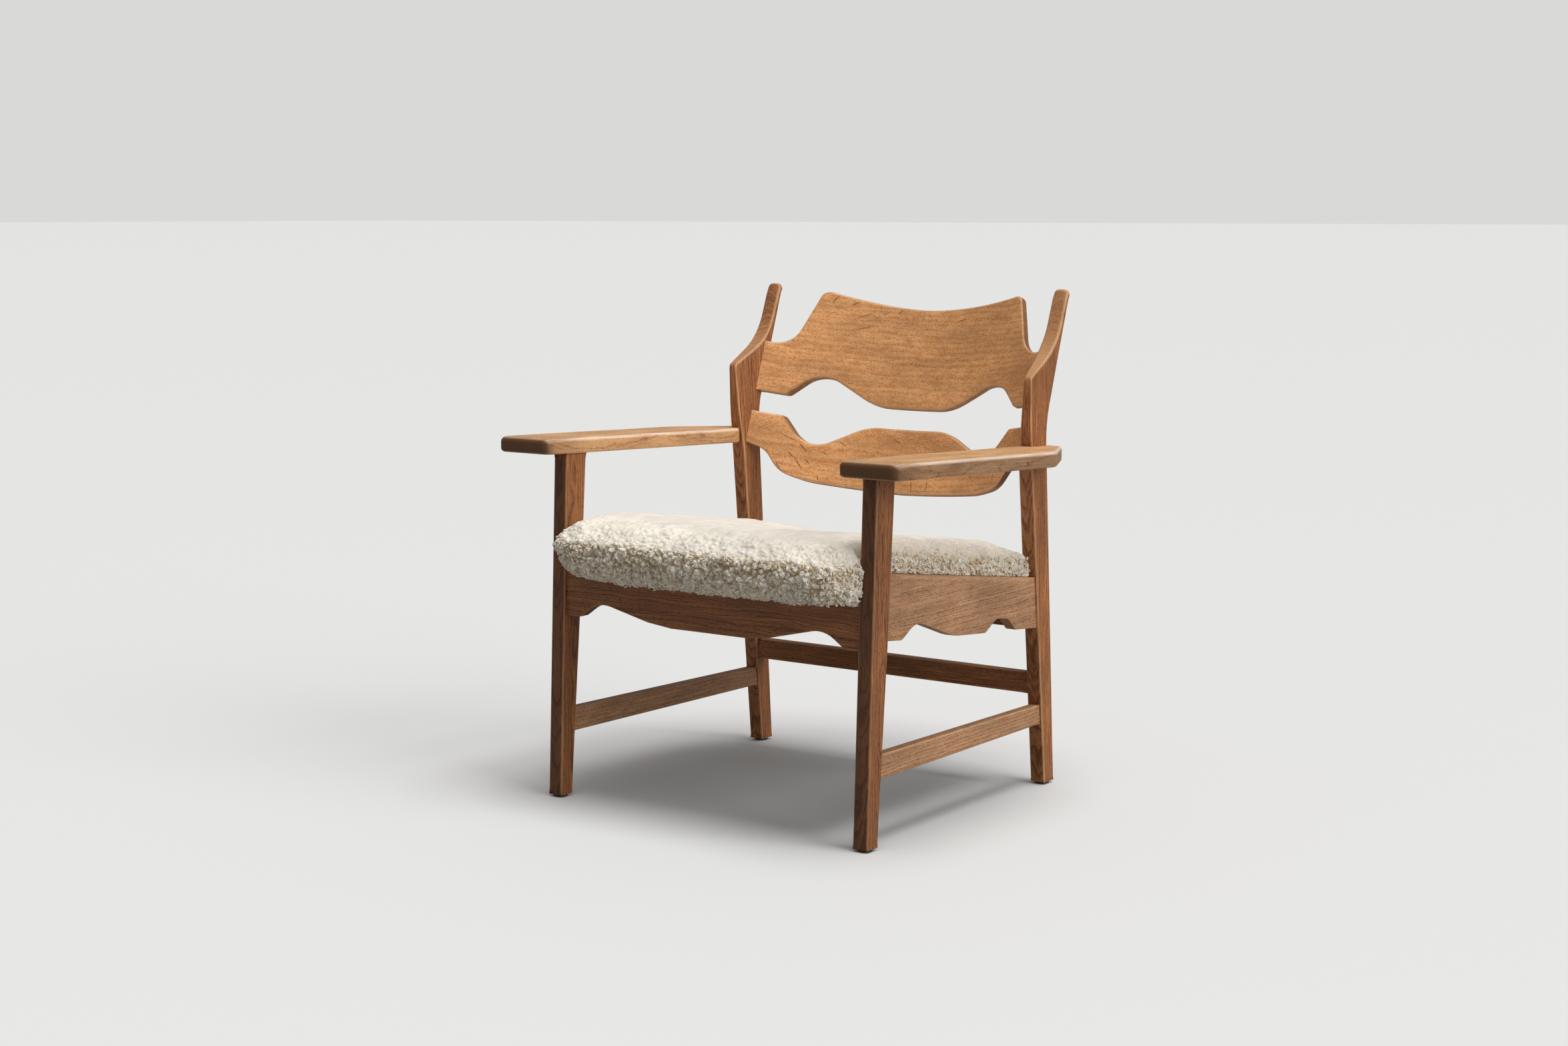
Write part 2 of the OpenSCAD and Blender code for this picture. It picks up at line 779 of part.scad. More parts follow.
// Seat screws, up through the corner blocks into the seat frame
module seat_screw_place(front) {
    d = block_reach(front) + block_l * 0.2;
    on_seat()
        translate([block_x(front) - block_w * 0.26, slope_y(block_y(front, d)), -block_h * 0.7])
            children();
}

module seat_screws() {
    color("silver")
        for (side = [LEFT, RIGHT], front = [true, false])
            mirror([side == LEFT ? 1 : 0, 0, 0])
                seat_screw_place(front)
                    wood_screw(block_h * 0.7 + screw_bite);
}

// Seat frame: four rails, half lapped at the corners, notched round legs and posts
frame_front_y = slope_y(front_apron_y - frame_over);
frame_rear_y = slope_y(rear_apron_y + apron_t - 9);
frame_neck_x = leg_in_x - skin_t - 2 * clear;
frame_tail_x = post_in_x - skin_t - 2 * clear;
frame_x = pad_x - skin_t - 1;
frame_leg_y = slope_y(rail_front_y + skin_t + 2);
frame_post_y = slope_y(rail_rear_y - skin_t - 2);

module frame_plan() {
    polygon(rounded(mirrored([
        [0, frame_front_y], [frame_neck_x, frame_front_y, 30], [frame_neck_x, frame_leg_y],
        [frame_x, frame_leg_y, 6], [frame_x - (front_w - rear_w) / 2, frame_post_y, 6],
        [frame_tail_x, frame_post_y], [frame_tail_x, frame_rear_y, 10], [0, frame_rear_y]
    ])));
}

module frame_slab(x0, x1, y0, y1, z0, z1) {
    translate([0, 0, z0])
        linear_extrude(z1 - z0)
            intersection() {
                frame_plan();
                translate([x0, y0])
                    square([x1 - x0, y1 - y0]);
            }
}

frame_in_x = frame_tail_x - frame_side_w;

module seat_frame_cross(front) {
    inner = front ? frame_front_y + frame_cross_w : frame_rear_y - frame_cross_w;
    y0 = front ? -far : inner;
    y1 = front ? inner : far;
    color("#d8b27c")
        difference() {
            on_seat() {
                frame_slab(-far, far, y0, y1, 0, frame_t / 2);
                frame_slab(-frame_in_x, frame_in_x, y0, y1, frame_t / 2, frame_t);
            }
            for (side = [LEFT, RIGHT])
                mirror([side == LEFT ? 1 : 0, 0, 0])
                    seat_screw_place(front)
                        wood_screw_hole(block_h * 0.7 + screw_bite);
        }
}

module seat_frame_side() {
    y0 = frame_front_y + frame_cross_w;
    y1 = frame_rear_y - frame_cross_w;
    color("#d8b27c")
        difference() {
            on_seat() {
                frame_slab(frame_in_x, far, y0, y1, 0, frame_t / 2);
                frame_slab(frame_in_x, far, -far, far, frame_t / 2, frame_t);
            }
            for (front = [true, false])
                seat_screw_place(front)
                    wood_screw_hole(block_h * 0.7 + screw_bite);
        }
}

// Webbing: straps across on the frame, straps along on top of them
strap_step = 84;

module webbing_across() {
    color("#8a7a5c")
        on_seat()
            for (i = [-2:2])
                translate([0, i * strap_step - strap_w / 2, frame_t])
                    translate([-frame_in_x - 30, 0, 0])
                        cube([2 * frame_in_x + 60, strap_w, strap_t]);
}

module webbing_along() {
    color("#8a7a5c")
        on_seat()
            for (i = [-2:2])
                translate([i * strap_step - strap_w / 2, frame_front_y + 25, frame_t + strap_t])
                    cube([strap_w, frame_rear_y - frame_front_y - 50, strap_t]);
}

canvas_h = frame_t + 2 * strap_t;

module canvas_sheet() {
    color("#d9cdb4")
        on_seat()
            frame_slab(-frame_in_x - 36, frame_in_x + 36, frame_front_y + 18, frame_rear_y - 18,
                canvas_h, canvas_h + cloth_t);
}

// Dust cover under the frame, clear of the aprons and of the corner blocks
module dust_cover() {
    reach = block_w + clear;
    front = slope_y(front_apron_y + apron_t + 1);
    rear = slope_y(rear_apron_y - 1);
    front_x = block_x(true) - reach;
    rear_x = block_x(false) - reach;
    side_x = rail_in(rail_rear_y) - 1;
    front_end = slope_y(block_y(true, block_reach(true) + block_l)) + 1;
    rear_end = slope_y(block_y(false, block_reach(false) + block_l)) - 1;
    color("#26221f")
        on_seat()
            translate([0, 0, -cloth_t])
                linear_extrude(cloth_t)
                    polygon(mirrored([
                        [0, front], [front_x, front], [front_x, front_end], [side_x, front_end],
                        [side_x, rear_end], [rear_x, rear_end], [rear_x, rear], [0, rear]
                    ]));
}

// Upholstery: a loft whose rings follow the plan, from the lower edge over to the middle.
// Its points are [x, y, height over the seat line].
pad_rear_y = rear_apron_y + apron_t - 2;
pad_mid_y = (pad_front_y + pad_rear_y) / 2;
side_n = 11;            // points on one corner and the straight side after it
corner_n = 5;           // steps in one corner
ring_n = 4 * side_n;

// Corners of the plan as [x, y, radius], from front right round to front left
function pad_corner(q, inset) =
    let (front = q == 0 || q == 3, across = q < 2 ? 1 : -1, along = front ? -1 : 1)
    let (full = front ? pad_front_r : pad_rear_r, r = max(full - inset, 3), move = r + inset)
    [across * (pad_x - move), (front ? pad_front_y : pad_rear_y) - along * move, r];
function pad_arc(q, j, inset) =
    let (c = pad_corner(q, inset), a = 90 * (q - 1) + 90 * j / corner_n)
    [c[0] + c[2] * cos(a), c[1] + c[2] * sin(a)];
function pad_plan(i, inset) =
    let (q = floor(i / side_n), j = i % side_n)
    j <= corner_n ? pad_arc(q, j, inset)
    : mix(pad_arc(q, corner_n, inset), pad_arc((q + 1) % 4, 0, inset), (j - corner_n) / (side_n - corner_n));

// How much of the section at this place is front roll: 1 at the front, 0 at the sides
function smooth(t) = let (u = max(0, min(1, t))) u * u * (3 - 2 * u);
function roll(y) = smooth((front_apron_y + 16 - y) / (pad_over * 0.75));
function roll_rise(x) = pow(max(0, (abs(x) - 100) / 160), 3);
function crown(p) =
    pad_h - pad_dip * (1 + cos(180 * min(1, abs(p[0]) / 190))) / 2
        - 9 * pow(max(0, min(1, (-120 - p[1]) / 160)), 2);

// One point of the section: f runs from -90 at the lower edge to 90 at the top
function pad_point(i, f, inset) =
    let (base = pad_plan(i, inset), front = roll(base[1]), rise = roll_rise(base[0]))
    let (low = mix(0, -roll_drop + 26 * rise, front) + inset * front)
    let (wide = mix(18, -14 + 4 * rise, front))
    let (bend = f < 0 ? mix(5, 26, front) : mix(50, 40, front))
    let (p = pad_plan(i, inset + bend * (1 - cos(f))))
    let (top = crown(p) - inset)
    [p[0], p[1], f < 0 ? wide + (wide - low) * sin(f) : wide + (top - wide) * sin(f)];

pad_angles = [-90, -60, -30, 0, 25, 50, 70, 90];
pad_shares = [0.66, 0.33];

function pad_ring(k, inset) = [for (i = [0:ring_n - 1])
    k < len(pad_angles) ? pad_point(i, pad_angles[k], inset)
    : let (p = pad_point(i, 90, inset), s = pad_shares[k - len(pad_angles)])
        let (q = [p[0] * s, pad_mid_y + (p[1] - pad_mid_y) * s]) [q[0], q[1], crown(q) - inset]];

module pad_loft(inset) {
    rings = len(pad_angles) + len(pad_shares);
    last = rings * ring_n;
    points = concat(
        [for (k = [0:rings - 1]) each pad_ring(k, inset)],
        [[0, pad_mid_y, crown([0, pad_mid_y]) - inset], [0, pad_mid_y, -roll_drop / 2]]
    );
    quads = [for (k = [0:rings - 2], i = [0:ring_n - 1])
        let (a = k * ring_n + i, b = k * ring_n + (i + 1) % ring_n)
            each [[a, a + ring_n, b], [b, a + ring_n, b + ring_n]]];
    caps = [for (i = [0:ring_n - 1]) let (j = (i + 1) % ring_n)
        each [[last, last - ring_n + j, last - ring_n + i], [last + 1, i, j]]];
    polyhedron([for (p = points) [p[0], p[1], seat_line(p[1]) + p[2]]], concat(quads, caps));
}

// Everything below a line over the seat, behind a front edge
module below_seat(front, lift) {
    side_slab(-far, far, [
        [front, 0], [far, 0], [far, seat_line(far) + lift], [front, seat_line(front) + lift]
    ]);
}

// Room for the front legs and the rear posts, which the upholstery goes round
module leg_room() {
    low = knee_h;
    high = arm_h;
    for (side = [LEFT, RIGHT])
        mirror([side == LEFT ? 1 : 0, 0, 0]) {
            side_slab(leg_in_x - clear, far, [
                [leg_front(low) - clear, low], [leg_rear(low) + clear, low],
                [leg_rear(high) + clear, high], [leg_front(high) - clear, high]
            ]);
            side_slab(post_in_x - clear, far, [
                [post_front(low) - clear, low], [far, low], [far, high], [post_front(high) - clear, high]
            ]);
        }
}

module foam_pad() {
    color("#e3c977")
        difference() {
            pad_loft(skin_t + clear);
            leg_room();
            below_seat(front_apron_y - 2 * clear, 0);
            below_seat(front_apron_y - frame_over - 1, canvas_h + cloth_t + clear + 1);
        }
}

module sheepskin_cover() {
    color("#e9e2d3")
        difference() {
            pad_loft(0);
            pad_loft(skin_t);
            leg_room();
            below_seat(front_apron_y - clear, clear);
            on_seat()
                translate([0, 0, -2])
                    linear_extrude(canvas_h)
                        frame_plan();
        }
}

placed(LEFT) front_leg();  // front_leg_left
placed(RIGHT) front_leg();  // front_leg_right
placed(LEFT) rear_post();  // rear_post_left
placed(RIGHT) rear_post();  // rear_post_right
placed() front_apron();
placed() rear_apron();
placed(LEFT) side_apron();  // side_apron_left
placed(RIGHT) side_apron();  // side_apron_right
placed(LEFT) side_stretcher();  // side_stretcher_left
placed(RIGHT) side_stretcher();  // side_stretcher_right
placed() rear_stretcher();
placed() upper_back_board();
placed() lower_back_board();
placed(LEFT) armrest();  // armrest_left
placed(RIGHT) armrest();  // armrest_right
placed() arm_dowels();
placed(LEFT) corner_block(true);  // corner_block_front_left
placed(RIGHT) corner_block(true);  // corner_block_front_right
placed(LEFT) corner_block(false);  // corner_block_rear_left
placed(RIGHT) corner_block(false);  // corner_block_rear_right
placed() corner_block_screws();
placed() seat_screws();
placed() seat_frame_cross(true);  // seat_frame_front
placed() seat_frame_cross(false);  // seat_frame_rear
placed(LEFT) seat_frame_side();  // seat_frame_left
placed(RIGHT) seat_frame_side();  // seat_frame_right
placed() webbing_across();
placed() webbing_along();
placed() canvas_sheet();
placed() foam_pad();
placed() sheepskin_cover();
placed() dust_cover();
placed(LEFT) foot_glide(true);  // foot_glide_front_left
placed(RIGHT) foot_glide(true);  // foot_glide_front_right
placed(LEFT) foot_glide(false);  // foot_glide_rear_left
placed(RIGHT) foot_glide(false);  // foot_glide_rear_right
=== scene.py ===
# %% [markdown]
# # An oak lounge chair with a sheepskin seat
#
# This lesson dresses a low lounge chair. Its frame is solid oak, oiled and worn smooth,
# and its seat is covered with curly sheepskin. The solid model gives every place and
# every size. Here each visible piece is built again with the rounded edges, the grain and
# the curls that a solid model leaves out.

# %% Load the frame
import bpy
import numpy as np
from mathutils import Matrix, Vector
from mathutils.geometry import delaunay_2d_cdt


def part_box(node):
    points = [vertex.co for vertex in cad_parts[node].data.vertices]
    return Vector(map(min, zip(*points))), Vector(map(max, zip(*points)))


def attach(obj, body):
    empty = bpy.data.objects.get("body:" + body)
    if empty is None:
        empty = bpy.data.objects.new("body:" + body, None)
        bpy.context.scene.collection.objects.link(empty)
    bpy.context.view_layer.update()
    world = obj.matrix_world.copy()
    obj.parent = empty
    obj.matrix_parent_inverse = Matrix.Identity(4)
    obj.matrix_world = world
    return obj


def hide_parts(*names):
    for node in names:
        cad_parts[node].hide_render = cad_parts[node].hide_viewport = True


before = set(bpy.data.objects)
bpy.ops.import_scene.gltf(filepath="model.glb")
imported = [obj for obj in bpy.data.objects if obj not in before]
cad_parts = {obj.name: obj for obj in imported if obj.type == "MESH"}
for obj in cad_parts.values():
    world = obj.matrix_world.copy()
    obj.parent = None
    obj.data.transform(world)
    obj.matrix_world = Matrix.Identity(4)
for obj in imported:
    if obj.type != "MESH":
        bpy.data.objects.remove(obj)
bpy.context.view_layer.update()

# %% [markdown]
# All lengths below are millimetres in the chair's own working frame: x runs across, y from
# front to back, and z up from the floor, with y = 0 midway between the feet. The solid
# model has its origin at the middle of the outline, so one shift along y joins the two.

# %% The shift between the two frames
MM = 1000.0
ARM_FRONT_Y = -290.0
SHIFT_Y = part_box("armrest_right")[0][1] * MM - ARM_FRONT_Y
LEFT, RIGHT = -1, 1
SIDES = ((LEFT, "left"), (RIGHT, "right"))
print("shift along y: %.1f mm" % SHIFT_Y)


def metres(x, y, z):
    """Working millimetres to the model's metres: add the shift to y, divide by MM."""
    return np.stack([x, y + SHIFT_Y, z], axis=-1) / MM


def mix(a, b, t):
    """The value a share t of the way from a to b: a + (b - a) t."""
    return a + (b - a) * t


def smooth(t):
    """A soft step from 0 to 1: t squared times (3 - 2 t), with t held to 0..1."""
    t = np.clip(t, 0, 1)
    return t * t * (3 - 2 * t)


# %% [markdown]
# The chair's side view is a handful of straight lines. Each is a function of height, and
# every piece that meets a leg or a post reads the same function, so that the joints close.

# %% Lines of the side view
FRONT_W, REAR_W, LEG_W = 599.0, 583.0, 26.0
GLIDE_H = 3.5
KNEE_H, BEND_H, SHOULDER_H, TIP_H = 288.0, 578.0, 651.0, 781.5
ARM_H, ARM_T, ARM_SLOPE = 563.0, 24.0, np.tan(np.radians(2.1))
SEAT_H, SEAT_SLOPE = 368.0, np.tan(np.radians(7.67))
FOOT_Y, TOP_Y, FOOT_D, KNEE_D, TOP_D = -258.0, -236.0, 27.0, 39.5, 46.5
POST_FOOT_Y, POST_FOOT_D, BEND_Y, BEND_D = 258.5, 29.5, 202.0, 48.0
POST_LEAN = np.tan(np.radians(19.1))


def arm_top(y):
    """Height of the armrests' top: falls from ARM_H at the front end by ARM_SLOPE."""
    return ARM_H - (y - ARM_FRONT_Y) * ARM_SLOPE


def arm_under(y):
    """Height of the armrests' underside: ARM_T below their top."""
    return arm_top(y) - ARM_T


def seat_line(y):
    """Height of the rails' top edges: falls to the rear by SEAT_SLOPE."""
    return SEAT_H - y * SEAT_SLOPE


LEG_TOP_H = arm_under(TOP_Y)


def leg_front(z):
    """Front edge of the front leg: a straight line from foot to armrest."""
    return mix(FOOT_Y, TOP_Y, (z - GLIDE_H) / (LEG_TOP_H - GLIDE_H))


KNEE_Y = leg_front(KNEE_H) + KNEE_D


def leg_rear(z):
    """Rear edge of the front leg: two straight lines that meet at the knee."""
    low = mix(FOOT_Y + FOOT_D, KNEE_Y, (z - GLIDE_H) / (KNEE_H - GLIDE_H))
    high = mix(KNEE_Y, TOP_Y + TOP_D, (z - KNEE_H) / (LEG_TOP_H - KNEE_H))
    return np.where(z < KNEE_H, low, high)


def post_front(z):
    """Front edge of the rear post below the bend."""
    return mix(POST_FOOT_Y, BEND_Y, (z - GLIDE_H) / (BEND_H - GLIDE_H))


def post_rear(z):
    """Rear edge of the rear post: leans forward to the bend, then back by POST_LEAN."""
    low = mix(POST_FOOT_Y + POST_FOOT_D, BEND_Y + BEND_D, (z - GLIDE_H) / (BEND_H - GLIDE_H))
    return np.where(z < BEND_H, low, BEND_Y + BEND_D + (z - BEND_H) * POST_LEAN)


LEG_IN_X, POST_IN_X = FRONT_W / 2 - LEG_W, REAR_W / 2 - LEG_W
RAIL_FRONT_Y, RAIL_REAR_Y = -198.7, 226.0


def rail_out(y, step=4.0):
    """Outer face of the side rails, a step inside the line from leg to post."""
    return mix(FRONT_W, REAR_W, (y - RAIL_FRONT_Y) / (RAIL_REAR_Y - RAIL_FRONT_Y)) / 2 - step


print("leg top %.1f mm, seat line %.1f to %.1f mm" % (LEG_TOP_H, seat_line(-240), seat_line(240)))

# %% [markdown]
# Every wooden piece here is a board: an outline with a thickness, whose edges were eased
# with a plane and sandpaper. A bevel modifier could round them, but not with a radius that
# changes along the edge, as years of use leave it. So one function makes all boards. It
# takes the outline in two coordinates, rolls its edge over in rings, closes both faces with
# triangles, and hands the points to a `place` function that bends, slants or turns the
# board into the chair. An edge with the radius BUTT_R stays square: it meets another piece.

# %% Outlines
BUTT_R = 0.05


def rounded(corners, step=8.0):
    """A closed outline from corners (x, y, radius), run anticlockwise. A corner with a
    radius becomes an arc that touches both of its edges: its centre lies on the bisector,
    radius / sin(half the corner's angle) away from the corner."""
    out = []
    n = len(corners)
    for i, corner in enumerate(corners):
        p = np.array(corner[:2], float)
        radius = corner[2] if len(corner) > 2 else 0.0
        if radius <= 0:
            out.append(p[None])
            continue
        u = np.array(corners[i - 1][:2], float) - p
        v = np.array(corners[(i + 1) % n][:2], float) - p
        u, v = u / np.linalg.norm(u), v / np.linalg.norm(v)
        half = np.arccos(np.clip(u @ v, -1, 1)) / 2
        centre = p + (u + v) / np.linalg.norm(u + v) * radius / np.sin(half)
        first, last = p + u * radius / np.tan(half) - centre, p + v * radius / np.tan(half) - centre
        start = np.degrees(np.arctan2(first[1], first[0]))
        sweep = (np.degrees(np.arctan2(last[1], last[0])) - start + 180) % 360 - 180
        angle = np.radians(start + sweep * np.linspace(0, 1, max(2, int(abs(sweep) / step) + 1)))
        out.append(centre + radius * np.stack([np.cos(angle), np.sin(angle)], 1))
    return np.concatenate(out)


def mirrored(half):
    """A closed outline from its right half, which runs from the middle line's low end to
    its high end."""
    return list(half) + [(-c[0],) + tuple(c[1:]) for c in half[-2:0:-1]]


def resampled(outline, spacing):
    """The same outline with each edge cut into equal parts no longer than the spacing."""
    after = np.roll(outline, -1, 0)
    parts = np.maximum(1, np.ceil(np.linalg.norm(after - outline, axis=1) / spacing)).astype(int)
    first = np.repeat(np.arange(len(outline)), parts)
    done = np.repeat(np.cumsum(parts) - parts, parts)
    share = (np.arange(parts.sum()) - done) / np.repeat(parts, parts)
    return outline[first] + (after - outline)[first] * share[:, None]


soft_square = rounded([(0, 0, 2), (10, 0, 2), (10, 10, 2), (0, 10, 2)])
print("outlines: a square of 10 mm with corners of 2 mm has %d points" % len(soft_square))

# %% [markdown]
# An eased edge is the outline moved inwards, a little more in each ring. A face that bends
# needs points inside it too, but only such as lie clear of its edge.

# %% Moving an outline inwards
def inset(outline, distance):
    """The outline moved inwards: each point goes along the sum of its two edges' normals,
    by distance (n1 + n2) / (1 + n1 . n2)."""
    edge = np.roll(outline, -1, 0) - outline
    edge /= np.linalg.norm(edge, axis=1)[:, None]
    n2 = np.stack([edge[:, 1], -edge[:, 0]], 1)
    n1 = np.roll(n2, 1, 0)
    reach = np.maximum(1 + (n1 * n2).sum(1), 0.4)
    return outline - (n1 + n2) * (distance / reach)[:, None]


def inside(points, outline, margin):
    """Which points lie inside the outline and further than the margin from its edges."""
    a, b = outline[None], np.roll(outline, -1, 0)[None]
    p = points[:, None]
    above = (a[..., 1] > p[..., 1]) != (b[..., 1] > p[..., 1])
    rise = np.where(b[..., 1] == a[..., 1], 1e-9, b[..., 1] - a[..., 1])
    crossing = a[..., 0] + (p[..., 1] - a[..., 1]) * (b[..., 0] - a[..., 0]) / rise
    odd = (above & (p[..., 0] < crossing)).sum(1) % 2 == 1
    along = np.clip(((p - a) * (b - a)).sum(-1) / np.maximum(((b - a) ** 2).sum(-1), 1e-9), 0, 1)
    gap = np.linalg.norm(p - a - along[..., None] * (b - a), axis=-1).min(1)
    return odd & (gap > margin)


square = rounded([(0, 0), (10, 0), (10, 10), (0, 10)])
print("inset: a square of 10 mm, moved in by 1 mm, is %.0f mm wide" % np.ptp(inset(square, 1.0)[:, 0]))

# %% [markdown]
# Blender takes a mesh fastest as whole arrays: all points, all corner numbers, all face
# sizes. Values kept on the points, such as how worn an edge is, which also places painted
# highlights, become attributes of the mesh, and its material reads them by name.

# %% Meshes from arrays
def points_of(piece):
    """A piece's points in working millimetres."""
    flat = np.empty(len(piece.data.vertices) * 3, dtype=np.float32)
    piece.data.vertices.foreach_get("co", flat)
    return flat.reshape(-1, 3).astype(float) * MM - (0, SHIFT_Y, 0)


def in_scene(name, data):
    """A new object at the origin that shows this data."""
    thing = bpy.data.objects.new(name, data)
    bpy.context.scene.collection.objects.link(thing)
    return thing


def mesh_piece(name, points, loops, sizes, flat_faces=()):
    """An object from points in metres, corner indices and face sizes, smooth but for some."""
    mesh = bpy.data.meshes.new(name)
    mesh.vertices.add(len(points))
    mesh.vertices.foreach_set("co", np.ascontiguousarray(points, dtype=np.float32).ravel())
    mesh.loops.add(len(loops))
    mesh.loops.foreach_set("vertex_index", np.asarray(loops, dtype=np.int32))
    mesh.polygons.add(len(sizes))
    mesh.polygons.foreach_set("loop_start", (np.cumsum(sizes) - sizes).astype(np.int32))
    shade = np.ones(len(sizes), dtype=bool)
    shade[np.asarray(flat_faces, dtype=int)] = False
    mesh.polygons.foreach_set("use_smooth", shade)
    mesh.update(calc_edges=True)
    mesh.validate()
    piece = in_scene(name, mesh)
    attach(piece, "root")
    return piece


def keep_vector(piece, name, values):
    """Stores one vector per point on the mesh, for its material to read."""
    layer = piece.data.attributes.new(name, "FLOAT_VECTOR", "POINT")
    layer.data.foreach_set("vector", np.ascontiguousarray(values, dtype=np.float32).ravel())


def keep_number(piece, name, values):
    """Stores one number per point on the mesh, in place of any kept under the same name."""
    layer = piece.data.attributes.get(name) or piece.data.attributes.new(name, "FLOAT", "POINT")
    layer.data.foreach_set("value", np.ascontiguousarray(values, dtype=np.float32))


def number_of(piece, name):
    """The numbers kept on a piece's points under a name."""
    flat = np.empty(len(piece.data.vertices), dtype=np.float32)
    piece.data.attributes[name].data.foreach_get("value", flat)
    return flat.astype(float)


print("solid model: %d nodes to dress" % len(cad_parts))

# %% [markdown]
# Faces have to look outwards, or light falls on their backs. Blender can recalculate them,
# but a closed mesh tells by its volume, which is negative when it is inside out. So one
# test on the arrays serves every piece before it is made.

# %% Faces and their directions
def quads_between(rings, n):
    """Faces of a tube of closed rings with n points each, ring after ring."""
    k, i = np.meshgrid(np.arange(rings - 1), np.arange(n), indexing="ij")
    j = (i + 1) % n
    return np.stack([k * n + i, k * n + j, (k + 1) * n + j, (k + 1) * n + i], -1).reshape(-1, 4)


def outward(points, loops, sizes):
    """The loops with every face turned over if needed. Fans of triangles from each face's
    first corner give six times the enclosed volume, positive where faces look outwards."""
    starts = np.cumsum(sizes) - sizes
    volume = 0.0
    for count in np.unique(sizes):
        base = starts[sizes == count]
        a = points[loops[base]]
        for k in range(1, count - 1):
            volume += (a * np.cross(points[loops[base + k]], points[loops[base + k + 1]])).sum()
    if volume >= 0:
        return loops
    return loops[np.repeat(2 * starts + sizes - 1, sizes) - np.arange(len(loops))]


def smooth_normals(points, loops, sizes):
    """Unit normal of each point: the sum of its faces' normals, each the cross product of
    the lines from corner 0 to 2 and from corner 1 to the last."""
    starts = np.cumsum(sizes) - sizes
    total = np.zeros_like(points)
    for count in (3, 4):
        base = starts[sizes == count]
        corner = [loops[base + k] for k in range(count)]
        face = np.cross(points[corner[2]] - points[corner[0]], points[corner[-1]] - points[corner[1]])
        for which in corner:
            np.add.at(total, which, face)
    return total / np.maximum(np.linalg.norm(total, axis=1), 1e-9)[:, None]


print("a closed ring of 4 points, carried once: %d faces" % len(quads_between(2, 4)))

# %% [markdown]
# A board's broad faces are closed with triangles between the last ring's own points. Where
# a board is bent, a grid of points fills the face first, so that the triangles can follow
# the bend. Delaunay triangles stay as even as they can.

# %% Closing a board's faces
def grid_in(ring, step):
    """Points of a square grid inside a ring, or none where the face stays plain."""
    if step is None:
        return np.zeros((0, 2))
    low, high = ring.min(0), ring.max(0)
    gx, gy = np.meshgrid(np.arange(low[0], high[0], step), np.arange(low[1], high[1], step))
    points = np.stack([gx.ravel(), gy.ravel()], 1)
    return points[inside(points, ring, step * 0.45)]


def cap(ring, inner):
    """Triangles that close a ring, through its own points first and then the inner ones."""
    spots = [Vector(p) for p in np.concatenate([ring, inner])]
    result = delaunay_2d_cdt(spots, [], [list(range(len(ring)))], 1, 1e-4)
    source = np.array([ids[0] for ids in result[3]])
    return source[np.array([list(face) for face in result[2]])]


print("caps: a square is closed with %d triangles" % len(cap(square, grid_in(square, None))))

# %% [markdown]
# Wood looks right only where its grain runs on from face to face. So each board keeps its
# own coordinates on its points: along the grain, across it and through it, in a place of
# the tree that its seed picks, and its distance from the tree's heart. It also keeps how
# worn an edge is, which also places painted highlights, how much a point belongs to the
# wall, and how far it shows end grain.

# %% The board with eased edges
def wood_place(seed, along, across, depth):
    """The place in the tree, in mm, of a point of the board with this seed."""
    return along + 700 * seed, across + 90 * seed, depth + 37 * seed


def end_share(points, loops, sizes, along):
    """How far each point's face looks along the grain: the size of the normal's part in the
    direction in which `along` grows fastest."""
    middle = points - points.mean(0)
    course = (middle * (along - along.mean())[:, None]).sum(0)
    course /= np.linalg.norm(course)
    return np.abs(smooth_normals(points, loops, sizes) @ course)


